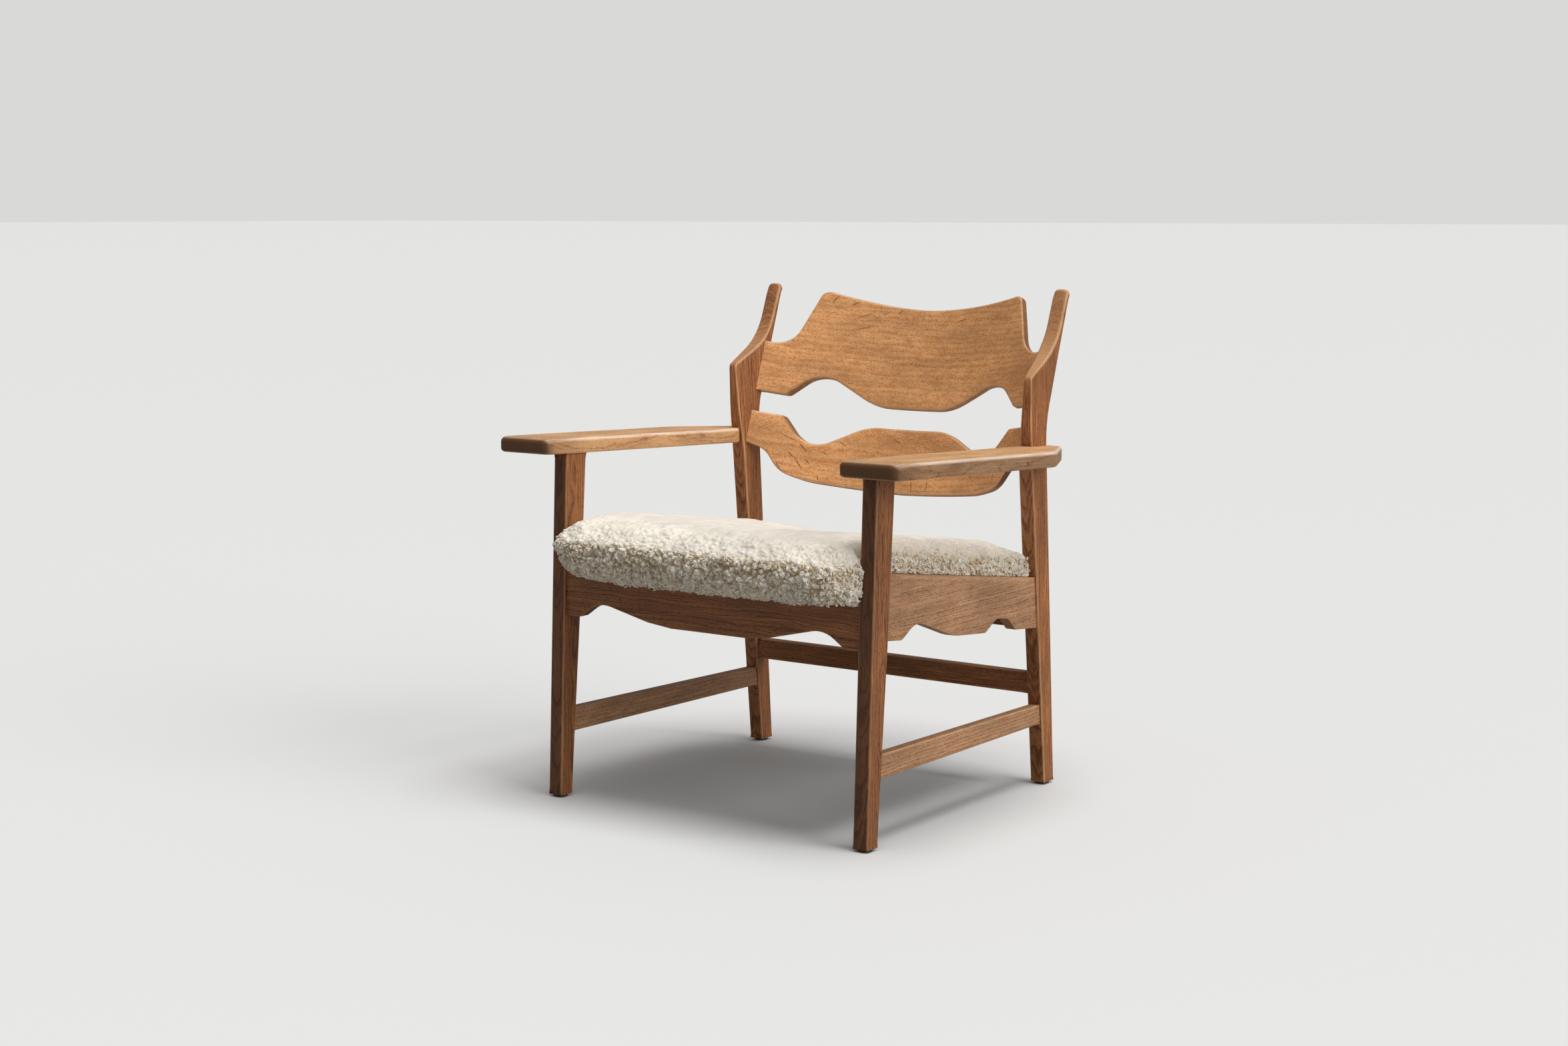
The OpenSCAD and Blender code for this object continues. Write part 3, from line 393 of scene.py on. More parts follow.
def board(node, outline, thickness, place, edges, spacing=9.0, grid=None, grain="u",
          side=RIGHT, seed=0.0, steps=5, heart=(0.0, -60.0), rows=0):
    """A board with rounded edges, in place of its node. On face 0 the ring at angle f is the
    outline moved in by r (1 - sin f), at the depth r (1 - cos f); face 1 mirrors it. `edges`
    gives the radii of both faces from the outline's points. `place` turns (u, v, depth) into
    working millimetres; `rows` adds rings to the wall, for a place that curves it. `grid`
    fills both faces with points, for the same end; without it they are flat."""
    edge = resampled(outline, spacing)
    low, high = edges(edge)
    f = np.radians(np.linspace(0, 90, steps + 1))
    rings = [(low * (1 - np.sin(a)), low * (1 - np.cos(a)),
              np.sin(2 * a) * (low > 1), np.sin(a) ** 2 * (low > 1)) for a in f]
    rings += [(0 * low, mix(low, thickness - high, share), 0 * low, 1.0 * (low > 1))
              for share in np.arange(1, rows + 1) / (rows + 1)]
    rings += [(high * (1 - np.sin(a)), thickness - high * (1 - np.cos(a)),
               np.sin(2 * a) * (high > 1), np.sin(a) ** 2 * (high > 1)) for a in f[::-1]]
    uv = np.concatenate([inset(edge, ring[0]) for ring in rings])
    depth, worn_highlight, wall = [np.concatenate([ring[k] for ring in rings]) for k in (1, 2, 3)]
    n = len(edge)
    faces = quads_between(len(rings), n)
    loops, sizes = [faces[:, ::-1].ravel()], [np.full(len(faces), 4)]
    for first, level, turn in ((0, 0.0, 1), (len(faces), thickness, -1)):
        ring = uv[first:first + n]
        inner = grid_in(ring, grid)
        cap_faces = cap(ring, inner)
        index = np.concatenate([np.arange(first, first + n), len(uv) + np.arange(len(inner))])
        uv = np.concatenate([uv, inner])
        depth = np.concatenate([depth, np.full(len(inner), level)])
        loops.append(index[cap_faces[:, ::turn]].ravel())
        sizes.append(np.full(len(cap_faces), 3))
    worn_highlight, wall = [np.pad(value, (0, len(uv) - len(value))) for value in (worn_highlight, wall)]
    loops, sizes = np.concatenate(loops), np.concatenate(sizes)
    u, v = uv[:, 0], uv[:, 1]
    x, y, z = place(u, v, depth)
    points = metres(side * x, y, z)
    loops = outward(points, loops, sizes)
    flats = np.arange(len(faces), len(sizes)) if grid is None else ()
    piece = mesh_piece("oak_" + node, points, loops, sizes, flats)
    along, across = (u, v) if grain == "u" else (v, u)
    end = end_share(points, loops, sizes, along)
    keep_vector(piece, "wood", np.stack(wood_place(seed, along, across, depth), 1) / MM)
    keep_vector(piece, "heart", np.stack([(across - heart[0]) / MM, (depth - heart[1]) / MM, end], 1))
    keep_number(piece, "worn_highlight", worn_highlight)
    keep_number(piece, "wall", wall)
    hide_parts(node)
    return piece


print("board: the one with seed 1 lies %d, %d and %d mm from seed 0 in the tree" % wood_place(1, 0, 0, 0))

# %% [markdown]
# The front legs are cut from 26 mm oak. The front edge is straight, and the rear edge
# tapers twice: slowly above the knee, faster below it. Their grain runs up the leg. Lofting
# them from four corners would be shorter, but the outline keeps the knee's soft bend.

# %% Front legs
EDGE_R, FOOT_R, FOOT_EDGE_H = 3.2, 1.5, 8.0
leg_rear_top = TOP_Y + TOP_D
leg_outline = rounded([
    (FOOT_Y, GLIDE_H, 1.6), (FOOT_Y + FOOT_D, GLIDE_H, 1.6), (KNEE_Y, KNEE_H, 400),
    (leg_rear_top, arm_under(leg_rear_top)), (TOP_Y, LEG_TOP_H)
])


def upright(outer):
    """Places a side view outline with its depth measured inwards from an outer face."""
    return lambda u, v, depth: (outer - depth, u, v)


def leg_edges(edge):
    """Eased edges, smaller at the foot, and none on top, where the leg butts the armrest."""
    on_top = edge[:, 1] > arm_under(edge[:, 0]) - 2
    r = np.where(on_top, BUTT_R, np.where(edge[:, 1] < FOOT_EDGE_H, FOOT_R, EDGE_R))
    return r, r


for side, word in SIDES:
    board("front_leg_" + word, leg_outline, LEG_W, upright(FRONT_W / 2), edges=leg_edges,
          grain="v", side=side, seed=1.0 + side * 0.31, heart=(TOP_Y + 13, 11.0))
print("front legs: %d outline points" % len(leg_outline))

# %% [markdown]
# The rear posts lean back above the seat and widen forwards to a shoulder, then sweep up
# to a narrow tip, like a wing. The inner face was planed down towards the wing's front
# edge, in a flat bevel that starts where the back boards meet the post. The bevel is made
# by the place function: it scales the depth, so that the rounded edges follow by themselves.

# %% Rear posts
BOARD_LEAN = np.radians(18.4)
BOARD_Y, BOARD_H = 224.0, 558.0
BEVEL, CREASE = np.tan(np.radians(14.0)), 5.0
WING_TURN_H, WING_NECK, TIP_D = TIP_H - 85.5, 13.0, 8.5
TIP_TOP = TIP_H + 2.5
DOME_R, DOME_H, DOME_MOST = 8.5, 16.0, 6.5
tip_y = float(post_rear(TIP_TOP))
post_outline = rounded([
    (POST_FOOT_Y, GLIDE_H, 1.6), (POST_FOOT_Y + POST_FOOT_D, GLIDE_H, 1.6),
    (BEND_Y + BEND_D, BEND_H, 160), (tip_y, TIP_TOP, 4.2), (tip_y - TIP_D - 1.2, TIP_TOP, 4.6),
    (float(post_rear(WING_TURN_H)) - WING_NECK, WING_TURN_H, 110),
    (BEND_Y - 2, SHOULDER_H, 9), (BEND_Y, BEND_H, 300)
], step=5)


def post_thickness(y, z):
    """Thickness of the wing: LEG_W behind the boards' front line, and ahead of it thinner
    by BEVEL times the distance from the line, with the bend softened over CREASE."""
    ahead = (BOARD_Y - y) * np.cos(BOARD_LEAN) + (z - BOARD_H) * np.sin(BOARD_LEAN)
    soft = (ahead + np.sqrt(ahead ** 2 + CREASE ** 2)) / 2 - CREASE * smooth((4 - ahead) / 8) / 2
    return LEG_W - BEVEL * np.maximum(soft, 0)


def post_place(u, v, depth):
    """The depth is scaled by the local thickness, so the inner face follows the bevel. The
    top DOME_H are lowered towards both faces along a quarter circle, as a finger's end."""
    here = post_thickness(u, v)
    from_face = np.minimum(depth, LEG_W - depth) * here / LEG_W
    short = np.clip(1 - from_face / DOME_R, 0, 1)
    drop = DOME_R * (1 - np.sqrt(1 - short ** 2)) * smooth((v - TIP_TOP + DOME_H) / DOME_H)
    return REAR_W / 2 - depth * here / LEG_W, u, v - np.minimum(drop, DOME_MOST)


def post_edges(edge):
    """Softer edges on the wing, where hands touch it, crisp ones at the foot."""
    wing = smooth((edge[:, 1] - SHOULDER_H + 20) / 60)
    r = np.where(edge[:, 1] < FOOT_EDGE_H, FOOT_R, mix(EDGE_R, 3.9, wing))
    return r, r


for side, word in SIDES:
    post = board("rear_post_" + word, post_outline, LEG_W, post_place, edges=post_edges,
                 grid=7.0, spacing=5.0, grain="v", side=side, seed=4.0 + side * 0.37, rows=7,
                 heart=(BEND_Y - 8, 13.0))
    # Painted highlight: the wall above the shoulder gets a pale tone, on the right more than on the left
    on_wing = smooth((points_of(post)[:, 2] - SHOULDER_H + 16) / 26)
    keep_number(post, "held_and_painted_light", on_wing * number_of(post, "wall") * (0.35 if side == LEFT else 1))
print("rear posts: tip at y %.1f mm" % tip_y)

# %% [markdown]
# Four aprons carry the seat. The front one has a flat belly between two arches, and the
# side ones a wavy lower edge and a stopped chamfer along the top outer edge: the chamfer
# fades out in a curve before it reaches the leg and the post. Each is one outline, whose
# edge radii change along its length.

# %% Aprons
APRON_T, FRONT_SEED = 19.0, 7.3
FRONT_APRON_Y, REAR_APRON_Y = -240.0, 236.0
front_top, rear_top = float(seat_line(FRONT_APRON_Y)), float(seat_line(REAR_APRON_Y))
front_outline = rounded(mirrored([
    (0, 285), (LEG_IN_X - 181, 285, 200), (LEG_IN_X - 64, 312, 50), (LEG_IN_X - 27, 286, 12),
    (LEG_IN_X, 286), (LEG_IN_X, front_top), (0, front_top)
]))
rear_outline = rounded(mirrored([(0, 254), (POST_IN_X, 254), (POST_IN_X, rear_top), (0, rear_top)]))


def eased_within(half_width):
    """Rounds only the edges that don't butt another piece: those less than this from x = 0."""
    return lambda edge: (np.where(np.abs(edge[:, 0]) < half_width - 1, 2.4, BUTT_R),) * 2


def cross_place(front_y):
    """A board across the chair, whose top follows the slope of the seat."""
    return lambda u, v, depth: (
        u, front_y + depth,
        v - depth * SEAT_SLOPE * smooth((v - 330 + 70 * (front_y > 0)) / 40))


for node, outline, half_width, front_y, seed in (
        ("front_apron", front_outline, LEG_IN_X, FRONT_APRON_Y, FRONT_SEED),
        ("rear_apron", rear_outline, POST_IN_X, REAR_APRON_Y, 8.1)):
    board(node, outline, APRON_T, cross_place(front_y), edges=eased_within(half_width),
          grid=12.0, seed=seed)

side_front_z, side_rear_z = float(seat_line(RAIL_FRONT_Y)), float(seat_line(RAIL_REAR_Y))
front_low, rear_low = side_front_z - 96, side_rear_z - 81
# Corners of the wavy edge: distance from an end, height below the seat line, radius
waves_in_front = [(RAIL_FRONT_Y + behind, height, radius)
                  for behind, height, radius in ((36, 96, 10), (76, 69, 44), (182, 91, 120))]
waves_at_rear = [(RAIL_REAR_Y - ahead, height, radius)
                 for ahead, height, radius in ((150, 87, 8), (116, 65, 18), (81, 65, 18), (58, 82.5, 8))]
side_outline = rounded(
    [(float(leg_rear(front_low)), front_low)]
    + [(y, float(seat_line(y)) - height, radius) for y, height, radius in waves_in_front + waves_at_rear]
    + [(float(post_front(rear_low)), rear_low), (RAIL_REAR_Y, side_rear_z), (RAIL_FRONT_Y, side_front_z)],
    step=6)
CHAMFER = 8.0


def side_rail_place(u, v, depth):
    """A board along the side, on the line that narrows from the legs to the posts."""
    return rail_out(u) - depth, u, v


def butts(edge):
    """Where a side board's outline meets the leg or the post."""
    return (edge[:, 0] < leg_rear(edge[:, 1]) + 1) | (edge[:, 0] > post_front(edge[:, 1]) - 1)


def side_apron_edges(edge):
    """The chamfer's depth rises from the small easing to CHAMFER between its two stops."""
    on_top = edge[:, 1] > seat_line(edge[:, 0]) - 1
    run = smooth((edge[:, 0] - RAIL_FRONT_Y - 22) / 16) * smooth((RAIL_REAR_Y - 8 - edge[:, 0]) / 16)
    plain = np.where(butts(edge), BUTT_R, 2.2)
    return np.where(on_top & ~butts(edge), mix(1.2, CHAMFER, run), plain), plain


for side, word in SIDES:
    board("side_apron_" + word, side_outline, APRON_T, side_rail_place,
          edges=side_apron_edges, spacing=5.0, grid=12.0, side=side, seed=10.0 + side * 0.43)
print("aprons: side aprons %.1f mm high in front, %.1f at the rear" % (
    side_front_z - front_low, side_rear_z - rear_low))

# %% [markdown]
# Three stretchers tie the feet. Those at the sides are wedge shaped: the top edge falls
# slightly to the rear. They are plain boards, so the same function makes them.

# %% Stretchers
STRETCHER_T = 18.0
SIDE_LOW, SIDE_HIGH, SIDE_FALL = 100.0, 137.0, 5.5
REAR_STRETCHER_Y, REAR_LOW, REAR_HIGH = 246.5, 147.5, 181.5
side_stretcher = rounded([
    (float(leg_rear(SIDE_LOW)), SIDE_LOW), (float(post_front(SIDE_LOW)), SIDE_LOW),
    (float(post_front(SIDE_HIGH - SIDE_FALL)), SIDE_HIGH - SIDE_FALL),
    (float(leg_rear(SIDE_HIGH)), SIDE_HIGH)
])
rear_stretcher = rounded(mirrored([
    (0, REAR_LOW), (POST_IN_X, REAR_LOW), (POST_IN_X, REAR_HIGH), (0, REAR_HIGH)
]))


def stretcher_edges(edge):
    """Eased along its length, square where it butts the leg and the post."""
    return (np.where(butts(edge), BUTT_R, 3.0),) * 2


for side, word in SIDES:
    board("side_stretcher_" + word, side_stretcher, STRETCHER_T, side_rail_place,
          edges=stretcher_edges, side=side, seed=13.0 + side * 0.29)
board("rear_stretcher", rear_stretcher, STRETCHER_T, lambda u, v, depth: (u, REAR_STRETCHER_Y + depth, v),
      edges=eased_within(POST_IN_X), seed=15.7)
print("stretchers: %.0f and %.0f mm high" % (SIDE_HIGH - SIDE_LOW, REAR_HIGH - REAR_LOW))

# %% [markdown]
# The back is two boards sawn from thick stock along a curve, so that they hold the
# sitter's back. Both are slices of one leaning tube. The board function makes them flat,
# and `tube_place` wraps them round: the depth becomes a distance from the tube's axis.

# %% Back boards
BOARD_T, BOARD_SAG = 16.0, 78.0
TUBE_R = (POST_IN_X ** 2 + BOARD_SAG ** 2) / (2 * BOARD_SAG)


def tube_place(u, v, depth):
    """x stays u; the point lies at the radius TUBE_R + depth round an axis that leans by
    BOARD_LEAN, with v measured along the axis from BOARD_H."""
    t = np.sqrt((TUBE_R + depth) ** 2 - u ** 2) + BOARD_SAG - TUBE_R
    y = BOARD_Y + v * np.sin(BOARD_LEAN) + t * np.cos(BOARD_LEAN)
    return u, y, BOARD_H + v * np.cos(BOARD_LEAN) - t * np.sin(BOARD_LEAN)


def board_edges(edge):
    """Well rounded edges, square only where the board butts the posts."""
    butt = np.abs(edge[:, 0]) > POST_IN_X - 0.5
    return np.where(butt, BUTT_R, 4.2), np.where(butt, BUTT_R, 3.4)


HORN_X, HORN_TOP, MID_TOP = 192.0, 241.5, 221.0
top_x = HORN_X * 0.09 * np.arange(10, -1, -1)
hollow = [(x, MID_TOP + (HORN_TOP - MID_TOP) * (x / HORN_X) ** 1.6) for x in top_x]
upper_outline = rounded(mirrored([
    (0, 51.5), (73, 51.5, 105), (172.5, 102, 47), (220, 53, 10), (POST_IN_X, 53),
    (POST_IN_X, 138.5), (227.5, 138.5, 42), (HORN_X, HORN_TOP, 16)
] + hollow), step=5)
lower_outline = rounded(mirrored([
    (0, -92), (165, -88, 90), (212, -79, 45), (238, -45, 34), (POST_IN_X, -38),
    (POST_IN_X, 17.5), (219.5, 17.5, 7), (174, -36, 48), (78, 16.5, 95), (0, 16.5)
]), step=5)
UPPER_SEED, LOWER_SEED = 20.2, 23.6
for word, outline, seed in (("upper", upper_outline, UPPER_SEED), ("lower", lower_outline, LOWER_SEED)):
    board(word + "_back_board", outline, BOARD_T, tube_place, edges=board_edges,
          spacing=8.0, grid=9.0, seed=seed)
print("back boards: tube radius %.0f mm" % TUBE_R)

# %% [markdown]
# The armrests are broad flat boards. Each sits on its front leg, butts the rear post and
# runs past it in a tapering strip. Years of hands have rounded the edges, most of all at
# the front, and darkened the nose, and painted shade darkens its front face further. So
# the radii grow towards the front, and each point keeps how much it is held, how much
# painted reflection its side walls get, and on which edges a painted highlight lies.

# %% Armrests
STRIP_W, ARM_REAR_Y = 21.0, 262.0
NOSE_REACH, HELD_REACH, FRONT_REACH = 40.0, 95.0, 18.0
butt_y = float(post_front(arm_under(BEND_Y))) - 0.6
post_out = REAR_W / 2
arm_outline = rounded([
    (266, ARM_FRONT_Y, 13), (367, ARM_FRONT_Y, 13), (373, 140, 50),
    (post_out + STRIP_W, ARM_REAR_Y, 9), (post_out + 0.05, ARM_REAR_Y, 2),
    (post_out + 0.05, butt_y), (267, butt_y, 16)
], step=6)


def arm_place(u, v, depth):
    """Depth runs down from the sloping top."""
    return u, v, arm_top(v) - depth


def arm_edges(edge):
    """A full nose at the front end, 5.5 mm above and 4.5 mm below elsewhere, and square
    where the armrest meets the post."""
    at_post = (edge[:, 0] > 274) & (edge[:, 0] < post_out + 1) & (edge[:, 1] > butt_y - 2)
    nose = smooth((ARM_FRONT_Y + NOSE_REACH - edge[:, 1]) / NOSE_REACH)
    return [np.where(at_post, BUTT_R, mix(r, full, nose)) for r, full in ((5.5, 9.0), (4.5, 6.0))]


for side, word in SIDES:
    arm = board("armrest_" + word, arm_outline, ARM_T, arm_place, edges=arm_edges,
                spacing=6.0, grid=9.0, grain="v", side=side, seed=30.0 + side * 0.41, steps=8)
    x, y, z = points_of(arm).T
    wall = number_of(arm, "wall")
    nose = 1 - smooth((y - ARM_FRONT_Y - 2) / HELD_REACH)
    front = 1 - smooth((y - ARM_FRONT_Y - 4) / FRONT_REACH)
    outer = smooth((np.abs(x) - 290) / 50)
    upper_half = smooth((z - arm_top(y) + 0.6 * ARM_T) / 4)
    # Dark nose: darkened by hands on top, and painted shade on the front face
    keep_number(arm, "held_and_painted_light", 0.3 * nose + 0.7 * front * wall)
    # Painted reflection and shade: the side walls turn grey, most on the outer side
    keep_number(arm, "wall", wall * mix(0.3, 1.0, outer))
    # Painted highlight: only the upper edges keep their pale edge colour, less near the nose
    keep_number(arm, "worn_highlight", number_of(arm, "worn_highlight") * upper_half * (1 - 0.75 * nose))
print("armrests: %d points each" % len(x))

# %% [markdown]
# The seat is foam under a sheepskin, which is drawn down over a rounded front roll. Its
# shape is a section carried round a rectangle with round corners. At the angle 0 the
# section is at its widest, at 90 degrees it reaches the crowned top, and at -90 it tucks
# under. Along the sides it stands on the rails, and in front it hangs below them. A cloth
# simulation would crown it too, but the roll and the dip are known from the picture, so
# a formula puts them where they belong.

# %% The cushion's plan
PAD_X, PAD_FRONT_Y, PAD_REAR_Y = 284.0, -300.0, 253.0
PAD_MID_Y = (PAD_FRONT_Y + PAD_REAR_Y) / 2
PAD_FRONT_R, PAD_REAR_R = 71.0, 40.0
PAD_H, PAD_DIP, ROLL_DROP = 54.5, 11.0, 56.0
FALL_FRONT, FALL_REAR = 27.0, 22.0
# Knots of the plan: CORNER_N round each corner, anticlockwise from the front right one, and
# the first one again at the end
CORNER_N = 13
in_corners = [CORNER_N] * 4 + [1]
corner_turn = np.radians(np.linspace(0, 90, CORNER_N))
knot_angle = np.concatenate([corner_turn - np.pi / 2, corner_turn, corner_turn + np.pi / 2,
                             corner_turn + np.pi, [-np.pi / 2]])
knot_x = np.repeat([1, 1, -1, -1, 1], in_corners)
knot_y = np.repeat([-1, 1, 1, -1, -1], in_corners)
knot_r = np.where(knot_y < 0, PAD_FRONT_R, PAD_REAR_R)


def plan_knot(k, drawn_in):
    """Knot k of the plan drawn in by a distance: the corner's radius shrinks by it, down to
    3 mm, and its centre lies the radius inside both edges."""
    radius = np.maximum(knot_r[k] - drawn_in, 3)
    move = radius + drawn_in
    edge_y = np.where(knot_y[k] < 0, PAD_FRONT_Y, PAD_REAR_Y)
    x = knot_x[k] * (PAD_X - move) + radius * np.cos(knot_angle[k])
    return x, edge_y - knot_y[k] * move + radius * np.sin(knot_angle[k])


knots = np.stack(plan_knot(np.arange(len(knot_r)), 0.0), 1)
knot_run = np.concatenate([[0], np.cumsum(np.linalg.norm(np.diff(knots, axis=0), axis=1))])


def pad_plan(share, drawn_in):
    """The plan's point for a share of the way round it, between its two nearest knots."""
    at = np.asarray(share) % 1.0 * knot_run[-1]
    k = np.clip(np.searchsorted(knot_run, at, side="right") - 1, 0, len(knot_r) - 2)
    t = (at - knot_run[k]) / (knot_run[k + 1] - knot_run[k])
    x0, y0 = plan_knot(k, drawn_in)
    x1, y1 = plan_knot(k + 1, drawn_in)
    return mix(x0, x1, t), mix(y0, y1, t)


print("cushion: %.0f mm from front to back" % (PAD_REAR_Y - PAD_FRONT_Y))

# %% [markdown]
# The section is worked out at any angle, for the foam and for both sides of the skin, each
# time drawn in a little more. That keeps the three an even way apart.

# %% The cushion's section
def crown(x, y):
    """Height of the top over the seat line: PAD_H, less a hollow where one sits and a fall
    towards the front edge and the rear edge."""
    hollow_part = PAD_DIP * (1 + np.cos(np.pi * np.minimum(1, np.abs(x) / 212))) / 2
    hollow_part = hollow_part * smooth((y + 240) / 200)
    front_fall, rear_fall = np.clip((-120 - y) / 160, 0, 1) ** 2, np.clip((y - 143) / 110, 0, 1) ** 2
    return PAD_H - hollow_part - FALL_FRONT * front_fall - FALL_REAR * rear_fall


def pad_section(share, degrees, skin):
    """The point of the section at an angle, for a form drawn in by the skin's thickness. It
    is a quarter ellipse above the widest line and one below: `bend` is how far each reaches
    inwards, `wide` the height of the widest line and `low` that of the tucked edge. `front`
    and `rear` say how far the point is in the roll or at the back, and `full` how far it is
    at the roll's right end, which one sees fuller than the left."""
    x, y = pad_plan(share, skin)
    front, rear = smooth((FRONT_APRON_Y + 35 - y) / 40), smooth((y - 120) / 110)
    full = smooth((x - 150) / 110)
    rise = (np.maximum(0, np.abs(x) - 100) / 160) ** 3 * (1 - 0.65 * full)
    low = mix(0, -ROLL_DROP + 11 * rise, front) + skin * front
    wide = mix(mix(19, 28, rear), -6 + 4 * rise, front)
    under = degrees < 0
    bend = np.where(under, mix(5, mix(26, 13, full), front), mix(mix(52, 84, rear), 47, front))
    f = np.radians(degrees)
    x, y = pad_plan(share, skin + bend * (1 - np.cos(f)))
    top = crown(x, y) - skin
    height = np.where(under, wide + (wide - low) * np.sin(f), wide + (top - wide) * np.sin(f))
    return np.stack([x, y, seat_line(y) + height], -1)


def towards_middle(ring, part, skin):
    """A ring drawn to a part of its distance from the middle, on the crown under the skin."""
    x, y = ring[:, 0] * part, PAD_MID_Y + (ring[:, 1] - PAD_MID_Y) * part
    return np.stack([x, y, seat_line(y) + crown(x, y) - skin], 1)


print("cushion: top %.1f mm over the seat line at its middle" % crown(0.0, 0.0))

# %% [markdown]
# The real cushion is pressed against the legs, the posts and the aprons. Instead of a
# collision in a simulation, each point that lands in one of them is moved out of it.

# %% Room for the frame
AIR, SEAT_X, APRON_REACH = 0.4, 300.0, 30.0


def keep_clear(p):
    """Moves points out of the legs, the posts, the front apron and the rails, each time to
    the nearest free face, and AIR beyond it."""
    x, y, z = p[..., 0].copy(), p[..., 1].copy(), p[..., 2].copy()
    side = np.where(x < 0, -1.0, 1.0)
    depth_x = np.abs(x) - (LEG_IN_X - AIR)
    depth_front, depth_rear = y - (leg_front(z) - AIR), leg_rear(z) + AIR - y
    hit = (depth_x > 0) & (depth_front > 0) & (depth_rear > 0)
    least = np.minimum(np.minimum(depth_x, depth_front), depth_rear)
    y = np.where(hit & (least == depth_front), y - depth_front, y)
    y = np.where(hit & (least == depth_rear) & (least < depth_front), y + depth_rear, y)
    x = np.where(hit & (least == depth_x) & (least < depth_front) & (least < depth_rear),
                 x - side * depth_x, x)
    depth_x, depth_y = np.abs(x) - (POST_IN_X - AIR), y - (post_front(z) - AIR)
    hit = (depth_x > 0) & (depth_y > 0)
    x = np.where(hit & (depth_x <= depth_y), x - side * depth_x, x)
    y = np.where(hit & (depth_x > depth_y), y - depth_y, y)
    low = seat_line(y) + AIR - z
    behind = y - (FRONT_APRON_Y - AIR)
    hit = (low > 0) & (behind > 0) & (np.abs(x) < SEAT_X)
    upwards = (low < behind) | (behind > APRON_REACH)
    z = np.where(hit & upwards, z + low, z)
    y = np.where(hit & ~upwards, y - behind, y)
    return np.stack([x, y, z], -1)


in_post = np.array([[POST_IN_X + 9, 250.0, 300.0]])
print("room: a point inside the post moves from", in_post[0], "to", keep_clear(in_post)[0].round(1))

# %% [markdown]
# Fleece grows in locks, small bundles of hair that curl at the tip. From above each lock
# is a round grain with a dark gap round it. Cell noise has just that form: every point of
# space belongs to the nearest of many scattered seeds, and the difference between the
# distances to the two nearest seeds is zero on the border between two locks.

# %% Cell noise
rng = np.random.default_rng(11)
SEEDS = rng.random((65536, 3))


def seeds_of(cell):
    """The place in 0..1 of each cell's own seed, from a hash of the cell's three numbers."""
    key = cell[:, 0] * 73856093 ^ cell[:, 1] * 19349663 ^ cell[:, 2] * 83492791
    return SEEDS[key & 65535]


def cells(points, size):
    """Distances to the nearest two seeds, in parts of the cell size; the nearest's three
    random numbers; and the way to it in millimetres."""
    p = points / size
    base = np.floor(p).astype(np.int64)
    first, second = np.full(len(p), 9.0), np.full(len(p), 9.0)
    own, way = np.zeros((len(p), 3)), np.zeros((len(p), 3))
    for step in np.ndindex(3, 3, 3):
        cell = base + np.array(step) - 1
        seed = seeds_of(cell)
        gap = np.linalg.norm(cell + seed - p, axis=1)
        nearer = gap < first
        second = np.where(nearer, first, np.minimum(second, gap))
        own = np.where(nearer[:, None], seed, own)
        way = np.where(nearer[:, None], (cell + seed - p) * size, way)
        first = np.where(nearer, gap, first)
    return first, second, own, way


def waves(points, size, seed):
    """Smooth noise between -1 and 1: a product of sines along three skew directions."""
    turns = np.random.default_rng(seed).normal(size=(3, 3))
    turns /= np.linalg.norm(turns, axis=1)[:, None]
    phase = points @ turns.T * (2 * np.pi / size) + seed
    tilt = phase[:, 0] + 1.3 * np.sin(phase[:, 1] * 0.7)
    return np.sin(tilt) * np.cos(phase[:, 2] + np.sin(phase[:, 0] * 0.6))


print("cell noise: %d seeds" % len(SEEDS))

# %% [markdown]
# The foam is a block cut to the cushion's form, less the thickness of the skin. It rests on
# the canvas and on the rails of the seat frame, and in front it fills the roll. It hardly
# shows, so it is a closed stack of rings without detail.

# %% The foam under the cover
SKIN_T, FRAME_OVER = 9.0, 14.0
FRAME_X, CANVAS_X, CANVAS_REAR_Y = 262.0, 247.0, 232.0
CANVAS_TOP, FRAME_TOP = 22.5, 19.0


def foam_floor(x, y, z):
    """Keeps the foam over the canvas and the seat frame, which starts FRAME_OVER in front of
    the apron; in front of that edge, and at its sides, the foam hangs free."""
    over = (y > FRONT_APRON_Y - FRAME_OVER) & (np.abs(x) < FRAME_X)
    floor_h = np.where((np.abs(x) < CANVAS_X) & (y < CANVAS_REAR_Y), CANVAS_TOP, FRAME_TOP)
    return np.where(over, np.maximum(z, seat_line(y) + floor_h), z)


FOAM_N, FOAM_IN = 180, SKIN_T + 1.5
shares = np.arange(FOAM_N) / FOAM_N
foam_rings = [pad_section(shares, a, FOAM_IN) for a in (-90, -60, -30, 0, 20, 40, 60, 75, 90)]
lowest, highest = foam_rings[0], foam_rings[-1]
foam_rings += [towards_middle(highest, part, FOAM_IN) for part in (0.85, 0.7, 0.5, 0.3, 0.1)]
for part in (0.9, 0.5, 0.1):
    x, y = lowest[:, 0] * part, PAD_MID_Y + (lowest[:, 1] - PAD_MID_Y) * part
    foam_rings.insert(0, np.stack([x, y, lowest[:, 2] if part == 0.9 else seat_line(y)], 1))
foam = keep_clear(np.concatenate(foam_rings))
foam[:, 2] = foam_floor(*foam.T)
foam_faces = quads_between(len(foam_rings), FOAM_N)
foam_loops = np.concatenate([foam_faces.ravel(), np.arange(FOAM_N)[::-1],
                             len(foam) - FOAM_N + np.arange(FOAM_N)])
foam_sizes = np.concatenate([np.full(len(foam_faces), 4), [FOAM_N, FOAM_N]])
foam_block = mesh_piece("seat_foam", metres(*foam.T), outward(foam, foam_loops, foam_sizes),
                        foam_sizes)
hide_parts("foam_pad")
print("foam: %d points" % len(foam))

# %% [markdown]
# The cover is the same section with far more points, so that it can carry the curls. It is
# a closed shell: outside the fleece, inside a plain skin that lies on the foam. Below, the
# two meet where the skin is stapled under the seat frame.

